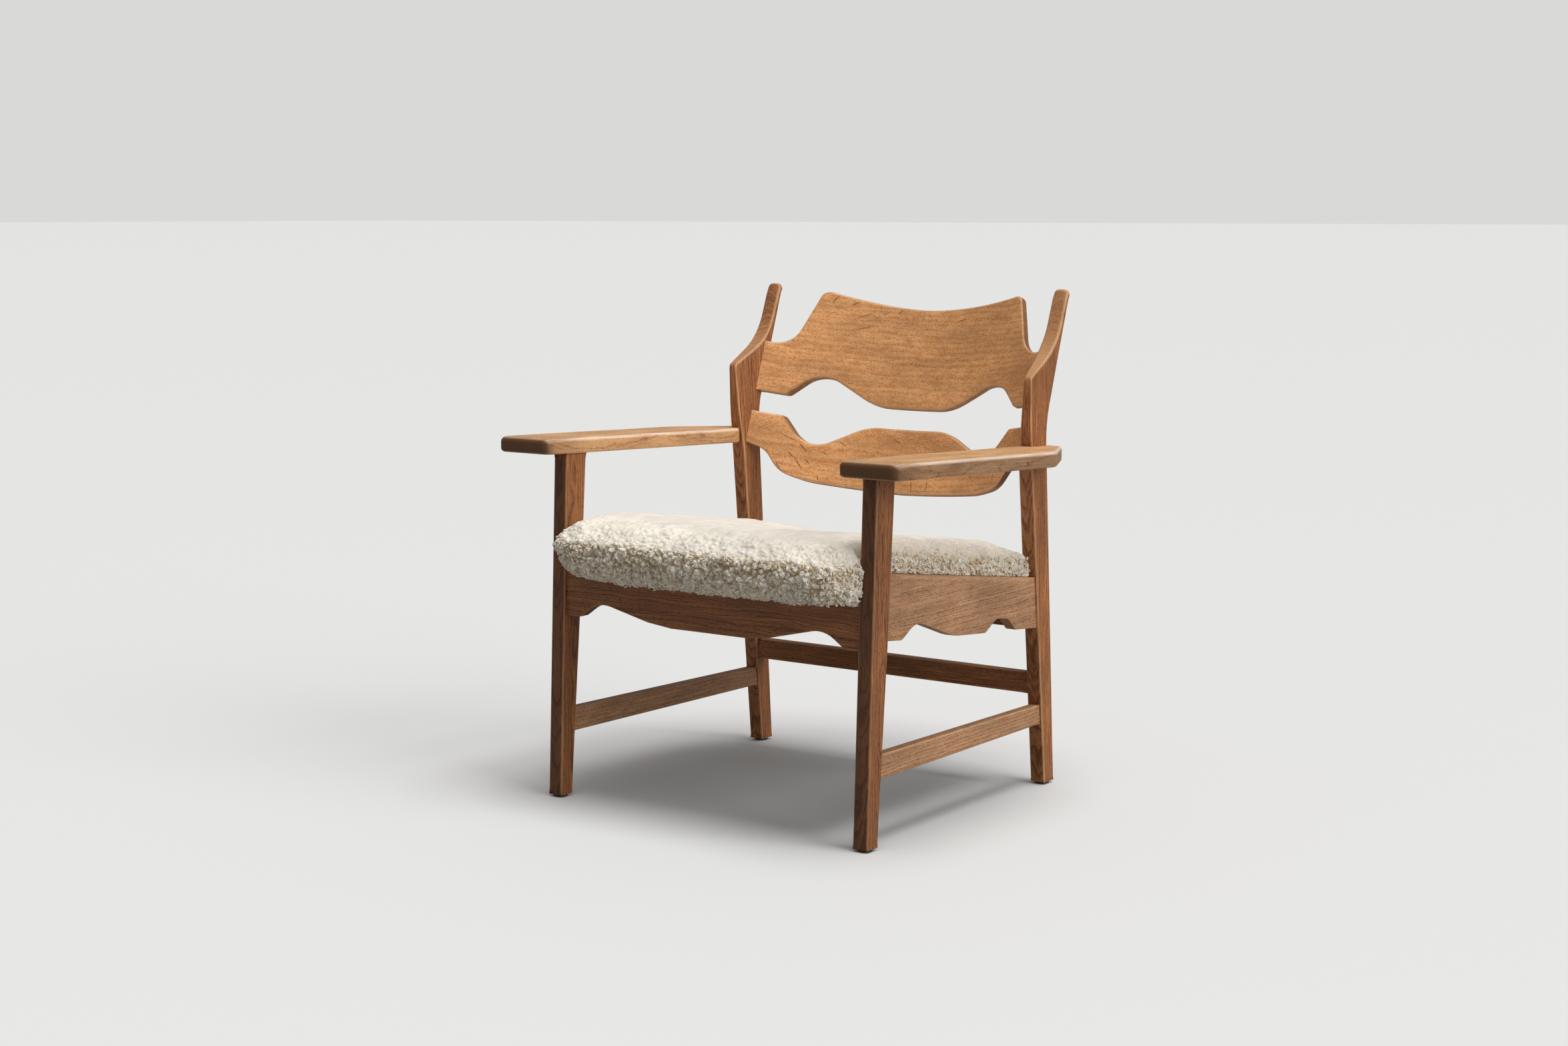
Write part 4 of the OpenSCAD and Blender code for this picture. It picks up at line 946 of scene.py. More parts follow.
# %% The cover's own surface
ROUND_N, DROWN, SKIN_GAP = 1300, 5.0, 0.5
shares = np.arange(ROUND_N) / ROUND_N
outer_angles = np.concatenate([np.linspace(-90, 0, 50)[:-1], np.linspace(0, 90, 62)])
rings = [pad_section(shares, a, DROWN) for a in outer_angles]
inner_rings = [pad_section(shares, a, SKIN_T + SKIN_GAP) + (0, 0, 0.6) for a in (-90, -45, 0, 30, 60, 90)]
inner_rings += [towards_middle(inner_rings[-1], part, SKIN_T + SKIN_GAP) for part in (0.66, 0.33, 0.02)]
tube = np.concatenate(inner_rings[::-1] + rings)
faces = quads_between(len(inner_rings) + len(rings), ROUND_N)


def inner_grid(ring, step, margin):
    """Grid points inside a ring that is seen whole from its middle: those whose distance
    from the middle is less than the ring's own in that direction."""
    middle = (ring.min(0) + ring.max(0)) / 2
    away = ring - middle
    angle = np.arctan2(away[:, 1], away[:, 0])
    order = np.argsort(angle)
    low, high = ring.min(0), ring.max(0)
    gx, gy = np.meshgrid(np.arange(low[0], high[0], step), np.arange(low[1], high[1], step))
    gx = gx + (np.arange(gx.shape[0]) % 2)[:, None] * step / 2
    points = np.stack([gx.ravel(), gy.ravel()], 1)
    rel = points - middle
    reach = np.interp(np.arctan2(rel[:, 1], rel[:, 0]), angle[order],
                      np.linalg.norm(away, axis=1)[order], period=2 * np.pi)
    return points[np.linalg.norm(rel, axis=1) < reach - margin]


top_ring = rings[-1][:, :2]
top_inner = inner_grid(top_ring, 3.0, 1.6)
cap_faces = cap(top_ring, top_inner)
x, y = top_inner[:, 0], top_inner[:, 1]
top_points = np.stack([x, y, seat_line(y) + crown(x, y) - DROWN], 1)
skin = np.concatenate([tube, top_points])
cap_index = np.concatenate([np.arange(len(tube) - ROUND_N, len(tube)),
                            len(tube) + np.arange(len(top_inner))])
loops = np.concatenate([faces.ravel(), cap_index[cap_faces].ravel(), np.arange(ROUND_N)[::-1]])
sizes = np.concatenate([np.full(len(faces), 4), np.full(len(cap_faces), 3), [ROUND_N]])
loops = outward(skin, loops, sizes)
print("cover: %d rings of %d points, %d points on top" % (len(rings), ROUND_N, len(top_inner)))

# %% [markdown]
# The top of the seat is combed and pressed flat by sitting, while the edges keep their
# curls. So the first number worked out for each point is how combed it is: it rises with
# the distance from the front, the sides and the back, along a line that waves a little.
# Underneath, at the fringe, the wool thins out.

# %% Direction of growth
grow = smooth_normals(skin, loops, sizes)
outside = np.arange(len(skin)) >= len(inner_rings) * ROUND_N
# Where the combed part starts, in mm from the front, the sides and the back, and over how
# many mm it fades in
inward = np.minimum.reduce([(skin[:, 1] - PAD_FRONT_Y - 42) / 105, (PAD_X - np.abs(skin[:, 0]) - 8) / 58,
                            (PAD_REAR_Y - skin[:, 1] - 30) / 80])
brushed = smooth(inward + 0.16 * waves(skin, 75, 3) + 0.1 * waves(skin, 31, 4))
brushed *= smooth((grow[:, 2] - 0.7) / 0.25)
fringe = smooth((-grow[:, 2] - 0.35) / 0.5)
upward = smooth((grow[:, 2] - 0.25) / 0.6)
print("normals ready, brushed share %.2f" % brushed[outside].mean())

# %% [markdown]
# Each lock pushes the skin up into a small dome, and a group of locks, a clump, into a
# larger one. Both sizes come from cell noise, whose straight walls are bent by waves. The
# same numbers give the tone: dark between the locks, for dust and as painted shade, pale on
# their tips and on the top. Where the wool faces up, it is also made paler, as painted light from above.

# %% Clumps and their tone
CLUMP, LOCK = 18.0, 8.2
twist, fine_twist = [np.stack([waves(skin, size, seed + k) for k in range(3)], 1)
                     for size, seed in ((17, 5), (6, 15))]
warped = skin + 2.2 * twist + 0.6 * fine_twist
clump_a, clump_b, clump_own = cells(warped, CLUMP)[:3]
lock_a, lock_b, lock_own, lock_way = cells(warped, LOCK)
clump = smooth((clump_b - clump_a) / 0.5) * (1 - 0.35 * clump_a ** 2)
lock = smooth((lock_b - lock_a) / 0.42) * (1 - 0.5 * lock_a ** 2)
bumps = 3.2 * clump + 3.0 * lock + 1.6 * (clump_own[:, 0] - 0.5) + 1.0 * (lock_own[:, 0] - 0.5)
rough = (1 - brushed) * (1 - 0.55 * fringe) * (1 - 0.25 * upward)
swell = (mix(0.06, 1.0, rough) * bumps - 1.6 * rough + 1.1 * waves(skin, 60, 9) + 3.2 * brushed
         + 1.6 * fringe)
tone = 0.26 + 0.2 * clump + 0.48 * lock + 0.12 * clump_own[:, 1] + 0.1 * lock_own[:, 1]
# Painted highlight: wool that faces up is made paler, for the light from above
tone = mix(tone, 0.98, 0.68 * upward)
tone = np.clip(mix(tone, 0.93 + 0.04 * lock, mix(brushed, 0.4, 0.5 * fringe)), 0, 1)
skin[outside] += (grow * swell[:, None])[outside]
skin[outside] = keep_clear(skin[outside])
print("fleece: raised by %.1f mm at most" % swell[outside].max())

# %% [markdown]
# Domes alone look like pebbles. Real locks end in loose strands, so thousands of small
# tufts grow from the sides and the roll, one to a few millimetres. Hair particles would
# need a finer grain than an exported mesh allows, so each tuft is a four sided tube. Where
# the wool is combed or looks up, the tufts are thinned until none is left.

# %% Roots of the strands
def one_per_cube(points, size):
    """Indices of points thinned to one per cube of a given size."""
    cube = np.floor(points / size).astype(np.int64)
    return np.unique(cube, axis=0, return_index=True)[1]


def unit(vectors):
    """Vectors scaled to the length 1."""
    return vectors / np.maximum(np.linalg.norm(vectors, axis=-1), 1e-9)[..., None]


def flat_part(vectors, normals):
    """The part of each vector that lies in the surface."""
    return vectors - normals * (vectors * normals).sum(-1)[..., None]


ROOT_GAP = 3.7
shuffled = rng.permutation(np.flatnonzero(outside))
root_id = shuffled[one_per_cube(skin[shuffled], ROOT_GAP)]
thinned = np.maximum(smooth(brushed / 0.5), 1.15 * upward)
root_id = root_id[rng.random(len(root_id)) > thinned[root_id]]
count = len(root_id)
root, up = skin[root_id] + rng.normal(size=(count, 3)) * 0.5, grow[root_id]
soft = brushed[root_id][:, None]
flat = np.maximum(soft, 0.6 * upward[root_id][:, None])
print("strands: %d" % count)

# %% [markdown]
# All strands of a lock bend the same way and draw together at the tip, like a comma. On
# the sides they also hang, and where the wool is combed they lie flat, towards the front.
# The middle line of a strand is a sum of four parts: it stands up in half a sine wave,
# reaches along its heading, bows to one side, and gathers towards the lock's middle.

# %% Strands that curl together
STATIONS, AROUND = 5, 4
s = np.linspace(0, 1, STATIONS)[None, :, None]
HANG, COMBED = np.array([0.0, 0.0, -1.0]), np.array([0.35, -1.0, 0.0])
swirl = lock_own[root_id] - 0.5
heading = mix(2.2 * swirl + 0.45 * HANG, COMBED + 0.8 * swirl, soft) + rng.normal(size=(count, 3)) * 0.2
heading = unit(flat_part(heading, up))
across = np.cross(up, heading)
gather = flat_part(lock_way[root_id], up) * mix(0.8, 0.1, soft)
size = rng.uniform(0.7, 1.2, (count, 1)) * mix(0.85, 1.15, clump_own[root_id][:, 1:2])
# How far a strand stands up, reaches out and bows, in mm; combed ones lie lower and longer
stand = (mix(1.5, 0.6, flat) * size)[:, None] * np.sin(0.8 * np.pi * s) - 0.5
reach = (mix(3.2, 7.0, soft) * size)[:, None] * s ** 1.3
hand = np.where(clump_own[root_id][:, 2:3] > 0.5, 1, -1)
bow = (1.3 * hand * (1 - soft))[:, None] * np.sin(np.pi * s)
centre = (root[:, None] + up[:, None] * stand + heading[:, None] * reach + across[:, None] * bow
          + gather[:, None] * 0.9 * s)
ahead = unit(np.gradient(centre, axis=1))
wide = unit(np.cross(ahead, up[:, None]))
out = np.cross(wide, ahead)
taper = np.array([0.9, 1, 1, 0.85, 0.5])[None, :, None]
girth = (rng.uniform(0.8, 1.25, (count, 1)) * mix(1.0, 0.6, soft))[:, None] * taper
turn = (np.arange(AROUND) + 0.5) * 2 * np.pi / AROUND
tuft = (centre[:, :, None] + (wide * girth * 1.2)[:, :, None] * np.cos(turn)[:, None]
        + (out * girth)[:, :, None] * np.sin(turn)[:, None])
tip = centre[:, -1] + ahead[:, -1] * girth[:, -1] * 1.6
print("strands: %.1f mm long on the mean" % np.linalg.norm(np.diff(centre, axis=1), axis=2).sum(1).mean())

# %% [markdown]
# Skin and tufts become one mesh, so that the sheepskin is one piece, as on the chair. The
# tone of each tuft starts with the tone of its root and grows paler towards the tip.

# %% The cover as one mesh
tuft_points = np.concatenate([tuft.reshape(count, -1, 3), tip[:, None]], 1)
per_tuft = tuft_points.shape[1]
one_tube = quads_between(STATIONS, AROUND)
last, i = (STATIONS - 1) * AROUND, np.arange(AROUND)
one_tip = np.stack([last + i, last + (i + 1) % AROUND, np.full(AROUND, per_tuft - 1)], 1)
offset = len(skin) + np.arange(count)[:, None, None] * per_tuft
strand_tone = tone[root_id][:, None, None] + 0.2 * s * rng.uniform(0.6, 1.0, (count, 1))[:, None]
# Painted highlight: tufts that face up may turn paler towards their tips
strand_tone = np.clip(strand_tone, 0.36, mix(0.92, 1.0, upward[root_id])[:, None, None])
strand_tone = np.maximum(strand_tone, 0.88 * soft[:, None])
tuft_tone = np.concatenate([np.repeat(strand_tone[:, :, 0], AROUND, axis=1), strand_tone[:, -1]], 1)
all_points = np.concatenate([skin, keep_clear(tuft_points.reshape(-1, 3))])
all_loops = np.concatenate([loops, (one_tube + offset).ravel(), (one_tip + offset).ravel()])
all_sizes = np.concatenate([sizes, np.full(count * len(one_tube), 4), np.full(count * len(one_tip), 3)])
cover = mesh_piece("sheepskin_seat", metres(*all_points.T), all_loops, all_sizes)
keep_number(cover, "tone", np.concatenate([tone, tuft_tone.ravel()]))
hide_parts("sheepskin_cover")
print("cover: %d faces" % len(all_sizes))

# %% [markdown]
# Each foot stands on a hard plastic glide with a nail in the middle. Only a thin dark disc
# shows. It is a profile turned round an upright axis, with a rounded lower rim. A Screw
# modifier would turn it too, but a sine and a cosine of the angle do it at once.

# %% Foot glides
GLIDE_N, NAIL_R = 32, 1.3


def glide(node):
    """Rings of a disc and its nail: GLIDE_N points round the middle of the CAD node's box."""
    low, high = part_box(node)
    middle = (low + high) * (MM / 2)
    radius, nail_h = (high.x - low.x) * (MM / 2), high.z * MM
    profile = np.array([(0.05, 0.0), (radius - 1.6, 0.0), (radius - 0.8, 0.2), (radius - 0.2, 0.8),
                        (radius, 1.6), (radius, GLIDE_H - 0.5), (radius - 0.3, GLIDE_H - 0.1),
                        (NAIL_R, GLIDE_H - 0.05), (NAIL_R, nail_h - 2.5), (0.05, nail_h)])
    turn = 2 * np.pi * np.arange(GLIDE_N) / GLIDE_N
    x = middle.x + profile[:, :1] * np.cos(turn)
    y = middle.y + profile[:, :1] * np.sin(turn)
    z = np.repeat(profile[:, 1:], GLIDE_N, axis=1)
    points = np.stack([x, y, z], -1).reshape(-1, 3) / MM
    walls = quads_between(len(profile), GLIDE_N)
    loops = np.concatenate([walls.ravel(), np.arange(GLIDE_N)[::-1],
                            len(points) - GLIDE_N + np.arange(GLIDE_N)])
    sizes = np.concatenate([np.full(len(walls), 4), [GLIDE_N, GLIDE_N]])
    piece = mesh_piece("disc_" + node, points, loops, sizes)
    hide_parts(node)
    return piece


glides = [glide("foot_glide_%s_%s" % (end, word)) for end in ("front", "rear")
          for word in ("left", "right")]
print("glides:", [piece.name for piece in glides])

# %% [markdown]
# The camera stands where the photographer's did. Its place, its target and its lens were
# worked out from the straight edges of the chair, so that render and picture line up.

# %% Camera
def look(thing, place, target):
    """Puts a camera or a lamp in its place and points it at the target."""
    thing.location = place
    thing.rotation_euler = (target - place).to_track_quat("-Z", "Y").to_euler()


# The lens's focal length and the picture's width on the sensor, in mm
lens = bpy.data.cameras.new("camera")
lens.lens, lens.sensor_width = 56.45, 36.0
camera = in_scene("camera", lens)
look(camera, Vector(metres(2197.2, -3085.8, 908.0)), Vector(metres(0.0, -45.5, 430.2)))
bpy.context.scene.camera = camera
print("camera %.2f m from the middle" % camera.location.length)

# %% [markdown]
# Materials come next. Each starts as a Principled shader, and its pattern is built from
# noise or waves that are stretched to a real size. A picture could be used instead, but
# noise in three dimensions runs on over every edge of a piece and never repeats. One
# function turns a written colour into the linear values that Blender works with, and one
# adds a node with its settings and links.

# %% Helpers for materials
def colour(hex_code, alpha=1.0):
    """An sRGB hex colour as linear values: c / 12.92 in the dark, else a power of 2.4."""
    srgb = np.array([int(hex_code[i:i + 2], 16) for i in (1, 3, 5)]) / 255.0
    linear = np.where(srgb <= 0.04045, srgb / 12.92, ((srgb + 0.055) / 1.055) ** 2.4)
    return (*[float(c) for c in linear], alpha)


def add(tree, kind, inputs=None, **settings):
    """Adds one node. `inputs` gives each socket, by its name or number, a value, a link, or
    a node whose first output is linked."""
    node = tree.nodes.new("ShaderNode" + kind)
    for name, value in settings.items():
        setattr(node, name, value)
    for socket, value in (inputs or {}).items():
        if isinstance(value, bpy.types.Node):
            value = value.outputs[0]
        if isinstance(value, bpy.types.NodeSocket):
            tree.links.new(value, node.inputs[socket])
        else:
            node.inputs[socket].default_value = value
    return node


def finish(name, **values):
    """A new material with its shader's plain values set; returns both and the tree."""
    material = bpy.data.materials.new(name)
    material.use_nodes = True
    shader = material.node_tree.nodes["Principled BSDF"]
    for socket, value in values.items():
        shader.inputs[socket.replace("_", " ")].default_value = value
    return material, shader, material.node_tree


def cover_with(tree, shader, tint, height, strength, depth_mm):
    """Links the tint to the shader, and the height as a relief up to `depth_mm` deep."""
    relief = add(tree, "Bump", {"Height": height, "Strength": strength, "Distance": depth_mm / MM})
    tree.links.new(tint, shader.inputs["Base Color"])
    tree.links.new(relief.outputs[0], shader.inputs["Normal"])


def dress(material, *names):
    """Puts a material on each named object."""
    for name in names:
        mesh = bpy.data.objects[name].data
        mesh.materials.clear()
        mesh.materials.append(material)


print("a mid grey in linear values: %.3f" % colour("#808080")[0])

# %% [markdown]
# Oak is ring porous: each year starts with a row of wide pores, which a lengthwise cut
# opens into short dark furrows, and ends with dense, paler wood. Rings are cylinders round
# the tree's heart, so a distance from the heart draws them on every face of a piece, and
# the faces agree at the edges. Oil makes the wood golden and leaves a low satin gloss.
# Where the cut crosses the grain, at a board's ends, the wood drinks oil and turns dark.
# Hands rub the edges pale and darken what they hold. Here the pale edges are also painted
# highlights, and what is held also carries painted light and shade.

# %% Rings of the tree
def season_of(tree, heart, bend, wander, ring):
    """Where in its year the wood grew, from 0 to 1: the fraction of the distance from the
    heart over `ring` mm. The distance is bent by a noise of `wander` mm, and a slow noise
    makes good years wide and poor ones narrow."""
    centred = add(tree, "VectorMath", {0: bend.outputs["Color"], 1: (0.5, 0.5, 0.5)}, operation="SUBTRACT")
    section = add(tree, "VectorMath", {0: heart.outputs["Vector"], 1: (MM, MM, 0)}, operation="MULTIPLY")
    bent = add(tree, "VectorMath", {0: centred, 1: (wander * 2, wander * 2, 0), 2: section},
               operation="MULTIPLY_ADD")
    radius = add(tree, "VectorMath", {0: bent}, operation="LENGTH").outputs["Value"]
    slow = add(tree, "Math", {0: radius, 1: 0.13}, operation="MULTIPLY")
    good_years = add(tree, "TexNoise", {"W": slow, "Scale": 1.0}, noise_dimensions="1D")
    grown = add(tree, "Math", {0: good_years, 1: 8.0, 2: radius}, operation="MULTIPLY_ADD")
    year = add(tree, "Math", {0: grown, 1: ring}, operation="DIVIDE")
    return add(tree, "Math", {0: year}, operation="FRACT")


RING = 3.2
print("rings: %.1f mm of wood in a usual year" % RING)

# %% [markdown]
# Rays, dents and stains can't come from noise, since each has its own place. A texture
# painted by hand would hold them, but a few ovals do too, and they stay sharp at any size.

# %% Marks on a board
SOFT_STEP = {"interpolation_type": "SMOOTHSTEP"}


def stains_of(tree, mm, crumple, marks):
    """The largest share of all marks at a point. Each mark is an oval with a crumpled rim,
    full within 0.35 of its half sizes and gone at 1.15 of them."""
    place = add(tree, "VectorMath", {0: crumple.outputs["Color"], 1: (2.4, 2.4, 0), 2: mm},
                operation="MULTIPLY_ADD")
    share = 0.0
    for middle, sizes, turn, strength in marks:
        at = add(tree, "Mapping", {
            "Vector": place, "Location": (middle[0] + 1.2, middle[1] + 1.2, middle[2]),
            "Rotation": (0, 0, np.radians(turn)), "Scale": (sizes[0], sizes[1], 4)}, vector_type="TEXTURE")
        reach = add(tree, "VectorMath", {0: at}, operation="LENGTH").outputs["Value"]
        stain = add(tree, "MapRange", {"Value": reach, "From Min": 0.35, "From Max": 1.15,
                                       "To Min": strength, "To Max": 0.0}, **SOFT_STEP)
        share = add(tree, "Math", {0: stain, 1: share}, operation="MAXIMUM")
    return share


def spot(seed, along, across, half_length, half_width, turn=0.0, strength=0.8, depth=0.0):
    """A mark on the board with this seed: its middle on the board's own face, its two half
    sizes in mm, its turn from the grain in degrees, and how much of it shows."""
    return wood_place(seed, along, across, depth), (half_length, half_width), turn, strength


print("marks: a spot lies at", spot(FRONT_SEED, 0, 0, 1, 1)[0])

# %% [markdown]
# The finish itself lays these over each other as an oiled board does: wood between its two
# colours, darkened and lightened in patches, then pores, marks, painted shade on the walls,
# and what hands have done, with painted light and shade on the held parts and pale edges
# that are also painted highlights.

# %% Oiled oak
PORE_W = 1.2  # four times the real width, so that pores show
COLOURED = {"data_type": "RGBA"}


def oak(name, early, late, pore, end, bare_highlight, end_cover=0.5, wear_and_highlight=0.35, ring=RING, wander=9.0,
        streaks=60.0, pore_length=7.0, gloss=0.45, specks=0.0, smears=None, marks=(),
        mark_colour="#2c1a0f", wall=None, held_and_painted_light=0.0):
    """Wood between an early and a late colour, by its season. Over it lie layers, each a
    share of one colour: pores, specks (pores cut across), smears (patches of another tone),
    marks (strokes and dents placed by `spot`), painted shade on the board's wall, what hands
    hold with painted light and shade added, end grain, and bare edges with painted highlights."""
    material, shader, tree = finish(name, IOR=1.45)
    wood, heart, worn_highlight, rim, hand = [
        add(tree, "Attribute", attribute_name=kept) for kept in ("wood", "heart", "worn_highlight", "wall", "held_and_painted_light")]
    mm = add(tree, "VectorMath", {0: wood.outputs["Vector"], "Scale": MM}, operation="SCALE")

    # Patches of noise, by their length and width in mm and their detail
    noise = {}
    for word, along, across, detail in (
            ("bend", 150, 42, 2.0), ("streak", streaks, 2.4, 3.0), ("blotch", 110, 34, 2.0),
            ("pore", pore_length, PORE_W, 1.0), ("speck", 2.6, 1.1, 0.0), ("smear", 22, 7, 2.5),
            ("crumple", 4, 2.5, 1.0)):
        size = (1 / along, 1 / across, 1 / across)
        at = add(tree, "VectorMath", {0: mm, 1: size}, operation="MULTIPLY")
        noise[word] = add(tree, "TexNoise", {
            "Vector": at, "Scale": 1.0, "Detail": detail, "Roughness": 0.6})

    season = season_of(tree, heart, noise["bend"], wander, ring)

    # Soft steps: what each value becomes between two limits
    step = {}
    for word, value, low, high, to_low, to_high in (
            ("spring", season, 0.05, 0.55, 0.0, 1.0), ("autumn", season, 0.9, 1.0, 1.0, 0.0),
            ("streak", noise["streak"], 0.34, 0.66, 0.0, 1.0),
            ("shade", noise["blotch"], 0.25, 0.75, 0.8, 1.16),
            ("pore", noise["pore"], 0.54, 0.61, 0.0, 1.0), ("speck", noise["speck"], 0.6, 0.7, 0.0, 1.0),
            ("smear", noise["smear"], 0.46, 0.66, 0.0, 1.0),
            ("wall", noise["streak"], 0.3, 0.7, 0.4, 0.78),
            ("rub", noise["streak"], 0.3, 0.7, 0.5, 1.0),
            ("matt", noise["streak"], 0.2, 0.8, gloss - 0.05, gloss + 0.07)):
        step[word] = add(tree, "MapRange", {"Value": value, "From Min": low, "From Max": high,
                                            "To Min": to_low, "To Max": to_high}, **SOFT_STEP)
    dense = add(tree, "Math", {0: step["spring"], 1: step["autumn"]}, operation="MULTIPLY")
    open_wood = add(tree, "MapRange", {"Value": dense, "To Min": 0.95, "To Max": 0.4}, **SOFT_STEP)
    pores = add(tree, "Math", {0: step["pore"], 1: open_wood}, operation="MULTIPLY")

    # End grain, the painted shade on the board's wall, and the rubbed edges with their painted highlight
    facing = add(tree, "SeparateXYZ", {0: heart.outputs["Vector"]}).outputs["Z"]
    cut = add(tree, "MapRange", {"Value": facing, "From Min": 0.35, "From Max": 0.85}, **SOFT_STEP)
    along_grain = add(tree, "Math", {0: 1.0, 1: cut}, operation="SUBTRACT")
    # Painted shade: the board's wall is darkened, broken up by streaks; on the armrests it is also a
    # painted grey reflection
    wall_shade_share = add(tree, "Math", {0: rim.outputs["Fac"], 1: step["wall"]}, operation="MULTIPLY")
    # Rubbed edges turn pale, for wear and as a painted highlight along the rounding; end grain is left out
    touched = add(tree, "Math", {0: worn_highlight.outputs["Fac"], 1: step["rub"]}, operation="MULTIPLY")
    rubbed_highlight = add(tree, "Math", {0: touched, 1: along_grain}, operation="MULTIPLY")

    # The wood and its layers
    stains = stains_of(tree, mm, noise["crumple"], marks)
    streaky = add(tree, "Math", {0: step["streak"], 1: 0.45}, operation="MULTIPLY")
    grain = add(tree, "Math", {0: dense, 1: 0.55, 2: streaky}, operation="MULTIPLY_ADD")
    tint = add(tree, "Mix", {0: grain, 6: colour(early), 7: colour(late)}, **COLOURED).outputs[2]
    tint = add(tree, "Mix", {0: 1.0, 6: tint, 7: step["shade"]},
               blend_type="MULTIPLY", **COLOURED).outputs[2]
    for value, strength, hex_code in (
            (pores, 0.7, pore), (step["speck"], specks, pore), (step["smear"], 0.4, smears),
            (stains, 1.0 if marks else 0.0, mark_colour), (wall_shade_share, 1.0, wall),
            (hand.outputs["Fac"], held_and_painted_light, end), (cut, end_cover, end), (rubbed_highlight, wear_and_highlight, bare_highlight)):
        if strength and hex_code:
            share = add(tree, "Math", {0: value, 1: strength}, operation="MULTIPLY")
            tint = add(tree, "Mix", {0: share, 6: tint, 7: colour(hex_code)}, **COLOURED).outputs[2]
    dull = add(tree, "Math", {0: pores, 1: 0.2, 2: step["matt"]}, operation="MULTIPLY_ADD")
    dull = add(tree, "Math", {0: worn_highlight.outputs["Fac"], 1: -0.16, 2: dull}, operation="MULTIPLY_ADD")
    tree.links.new(dull.outputs[0], shader.inputs["Roughness"])
    raised = add(tree, "Math", {0: dense, 1: 0.25}, operation="MULTIPLY")
    height = add(tree, "Math", {0: raised, 1: pores}, operation="SUBTRACT")
    cover_with(tree, shader, tint, height, 0.5, 0.3)
    return material


print("oak: pores %.1f mm wide" % PORE_W)

# %% [markdown]
# One board differs from the next: the frame is dark and plain, the back boards are the
# palest and show short slanting strokes, which are rays, and the armrests have the most
# wear. The strokes and the few dents are listed one by one, since the eye knows them.

# %% The chair's own oaks
ARM_SEED = 30.41
strokes = [spot(UPPER_SEED, *stroke) for stroke in (
    (-170, 228, 9.0, 1.7, 54, 0.5), (-137, 223, 9.5, 1.7, 34, 0.5), (-116, 205, 16.5, 1.7, 23, 0.5),
    (-79, 211, 9.7, 1.7, 31, 0.5), (-55, 215, 6.6, 1.7, 30, 0.5), (-113, 183, 17.7, 1.7, 16, 0.5),
    (70, 204, 10.6, 1.7, 23, 0.45))]
strokes += [spot(LOWER_SEED, *stroke) for stroke in (
    (-196, -47, 8.9, 1.3, -38), (-181, -61, 14.4, 1.3, -48), (-179, -32, 11.4, 1.3, -44),
    (-211, -71, 10.3, 1.3, -53), (-204, -19, 19.7, 1.3, -19, 0.6), (-114, -18, 10.2, 1.3, -28, 0.6),
    (-168, -55, 7.0, 1.3, -43), (-142, -37, 8.8, 1.3, -19, 0.5), (-18, -4, 10.2, 1.3, -19, 0.5),
    (-146, -80, 5.9, 1.1, -76), (-128, -88, 19.7, 1.1, -10, 0.7), (26, -80, 12.0, 1.1, -78),
    (57, -77, 12.4, 1.1, -88), (201, -62, 7.8, 1.1, -89), (147, -59, 3.3, 1.1, -76))]
dents = [spot(ARM_SEED, -111, 370, 2.2, 1.6), spot(ARM_SEED, -90, 370, 1.6, 1.4),
         spot(ARM_SEED, -2, 371, 2.0, 1.5), spot(ARM_SEED, 56, 372, 4.0, 2.0, depth=14)]
# Frame: dark and even, with edges rubbed pale and painted as highlights, and painted shade on its walls,
# such as the legs' front faces and the aprons' edges
frame_oak = oak("oiled_oak_frame", "#6b3d1e", "#a86c3d", "#34190a", "#6b4326", "#cd9a6c", wear_and_highlight=0.55,
                end_cover=0.25, wander=12.0, wall="#40230d",
                marks=[spot(FRONT_SEED, -167.2, 320.3, 1.4, 5.0)])
# Posts: redder, with pale early wood; a pale tone on their end grain and, more on the right, on the wings'
# walls is a painted highlight of the light on the wings
post_oak = oak("oiled_oak_posts", "#78421e", "#bf7d49", "#43210b", "#d9a674", "#e8bb8c", wear_and_highlight=0.65,
               end_cover=0.3, ring=3.0, held_and_painted_light=0.4)
# Rails: a duller brown with close rings and fine specks
rail_oak = oak("oiled_oak_rails", "#a9744c", "#d0a077", "#5a361d", "#6d4a2e", "#dcb48c", wear_and_highlight=0.5,
               wander=6.0, specks=0.4, pore_length=5.0, streaks=30.0)
# Back boards: golden, broad rings, since they are cut along the tree's side; their walls, such as the
# rounded lower edges, get painted shade
board_oak = oak("oiled_oak_boards", "#eaa567", "#f5b97e", "#955229", "#5c3719", "#fbd6a6", wear_and_highlight=0.4,
                ring=9.0, specks=0.5, streaks=9.0, pore_length=3.2, smears="#bf7841", wall="#7a4a26",
                marks=strokes, mark_colour="#6b3a1a")
# Armrests: worn nearly bare, so pale, with dark end grain, a nose darkened by hands and by
# painted shade, grey walls that are a painted reflection, and painted highlights on the top edges
arm_oak = oak("oiled_oak_arms", "#c48c5a", "#e4b480", "#75492a", "#5c3a1a", "#fbeadb", wear_and_highlight=0.75,
              end_cover=0.9, ring=4.2, wall="#6f4f3c", held_and_painted_light=0.74, marks=dents)
for oiled, parts in (
        (frame_oak, ("front_leg_left", "front_leg_right", "front_apron", "rear_apron")),
        (post_oak, ("rear_post_left", "rear_post_right", "rear_stretcher")),
        (rail_oak, ("side_apron_left", "side_apron_right", "side_stretcher_left", "side_stretcher_right")),
        (board_oak, ("upper_back_board", "lower_back_board")),
        (arm_oak, ("armrest_left", "armrest_right"))):
    dress(oiled, *["oak_" + part for part in parts])
    print("%s on %d pieces" % (oiled.name, len(parts)))

# %% [markdown]
# Shorn sheepskin is cream at the tips and greyer brown between the locks, where dust and
# shade gather. The tone was worked out with the form, so colour and shape agree.

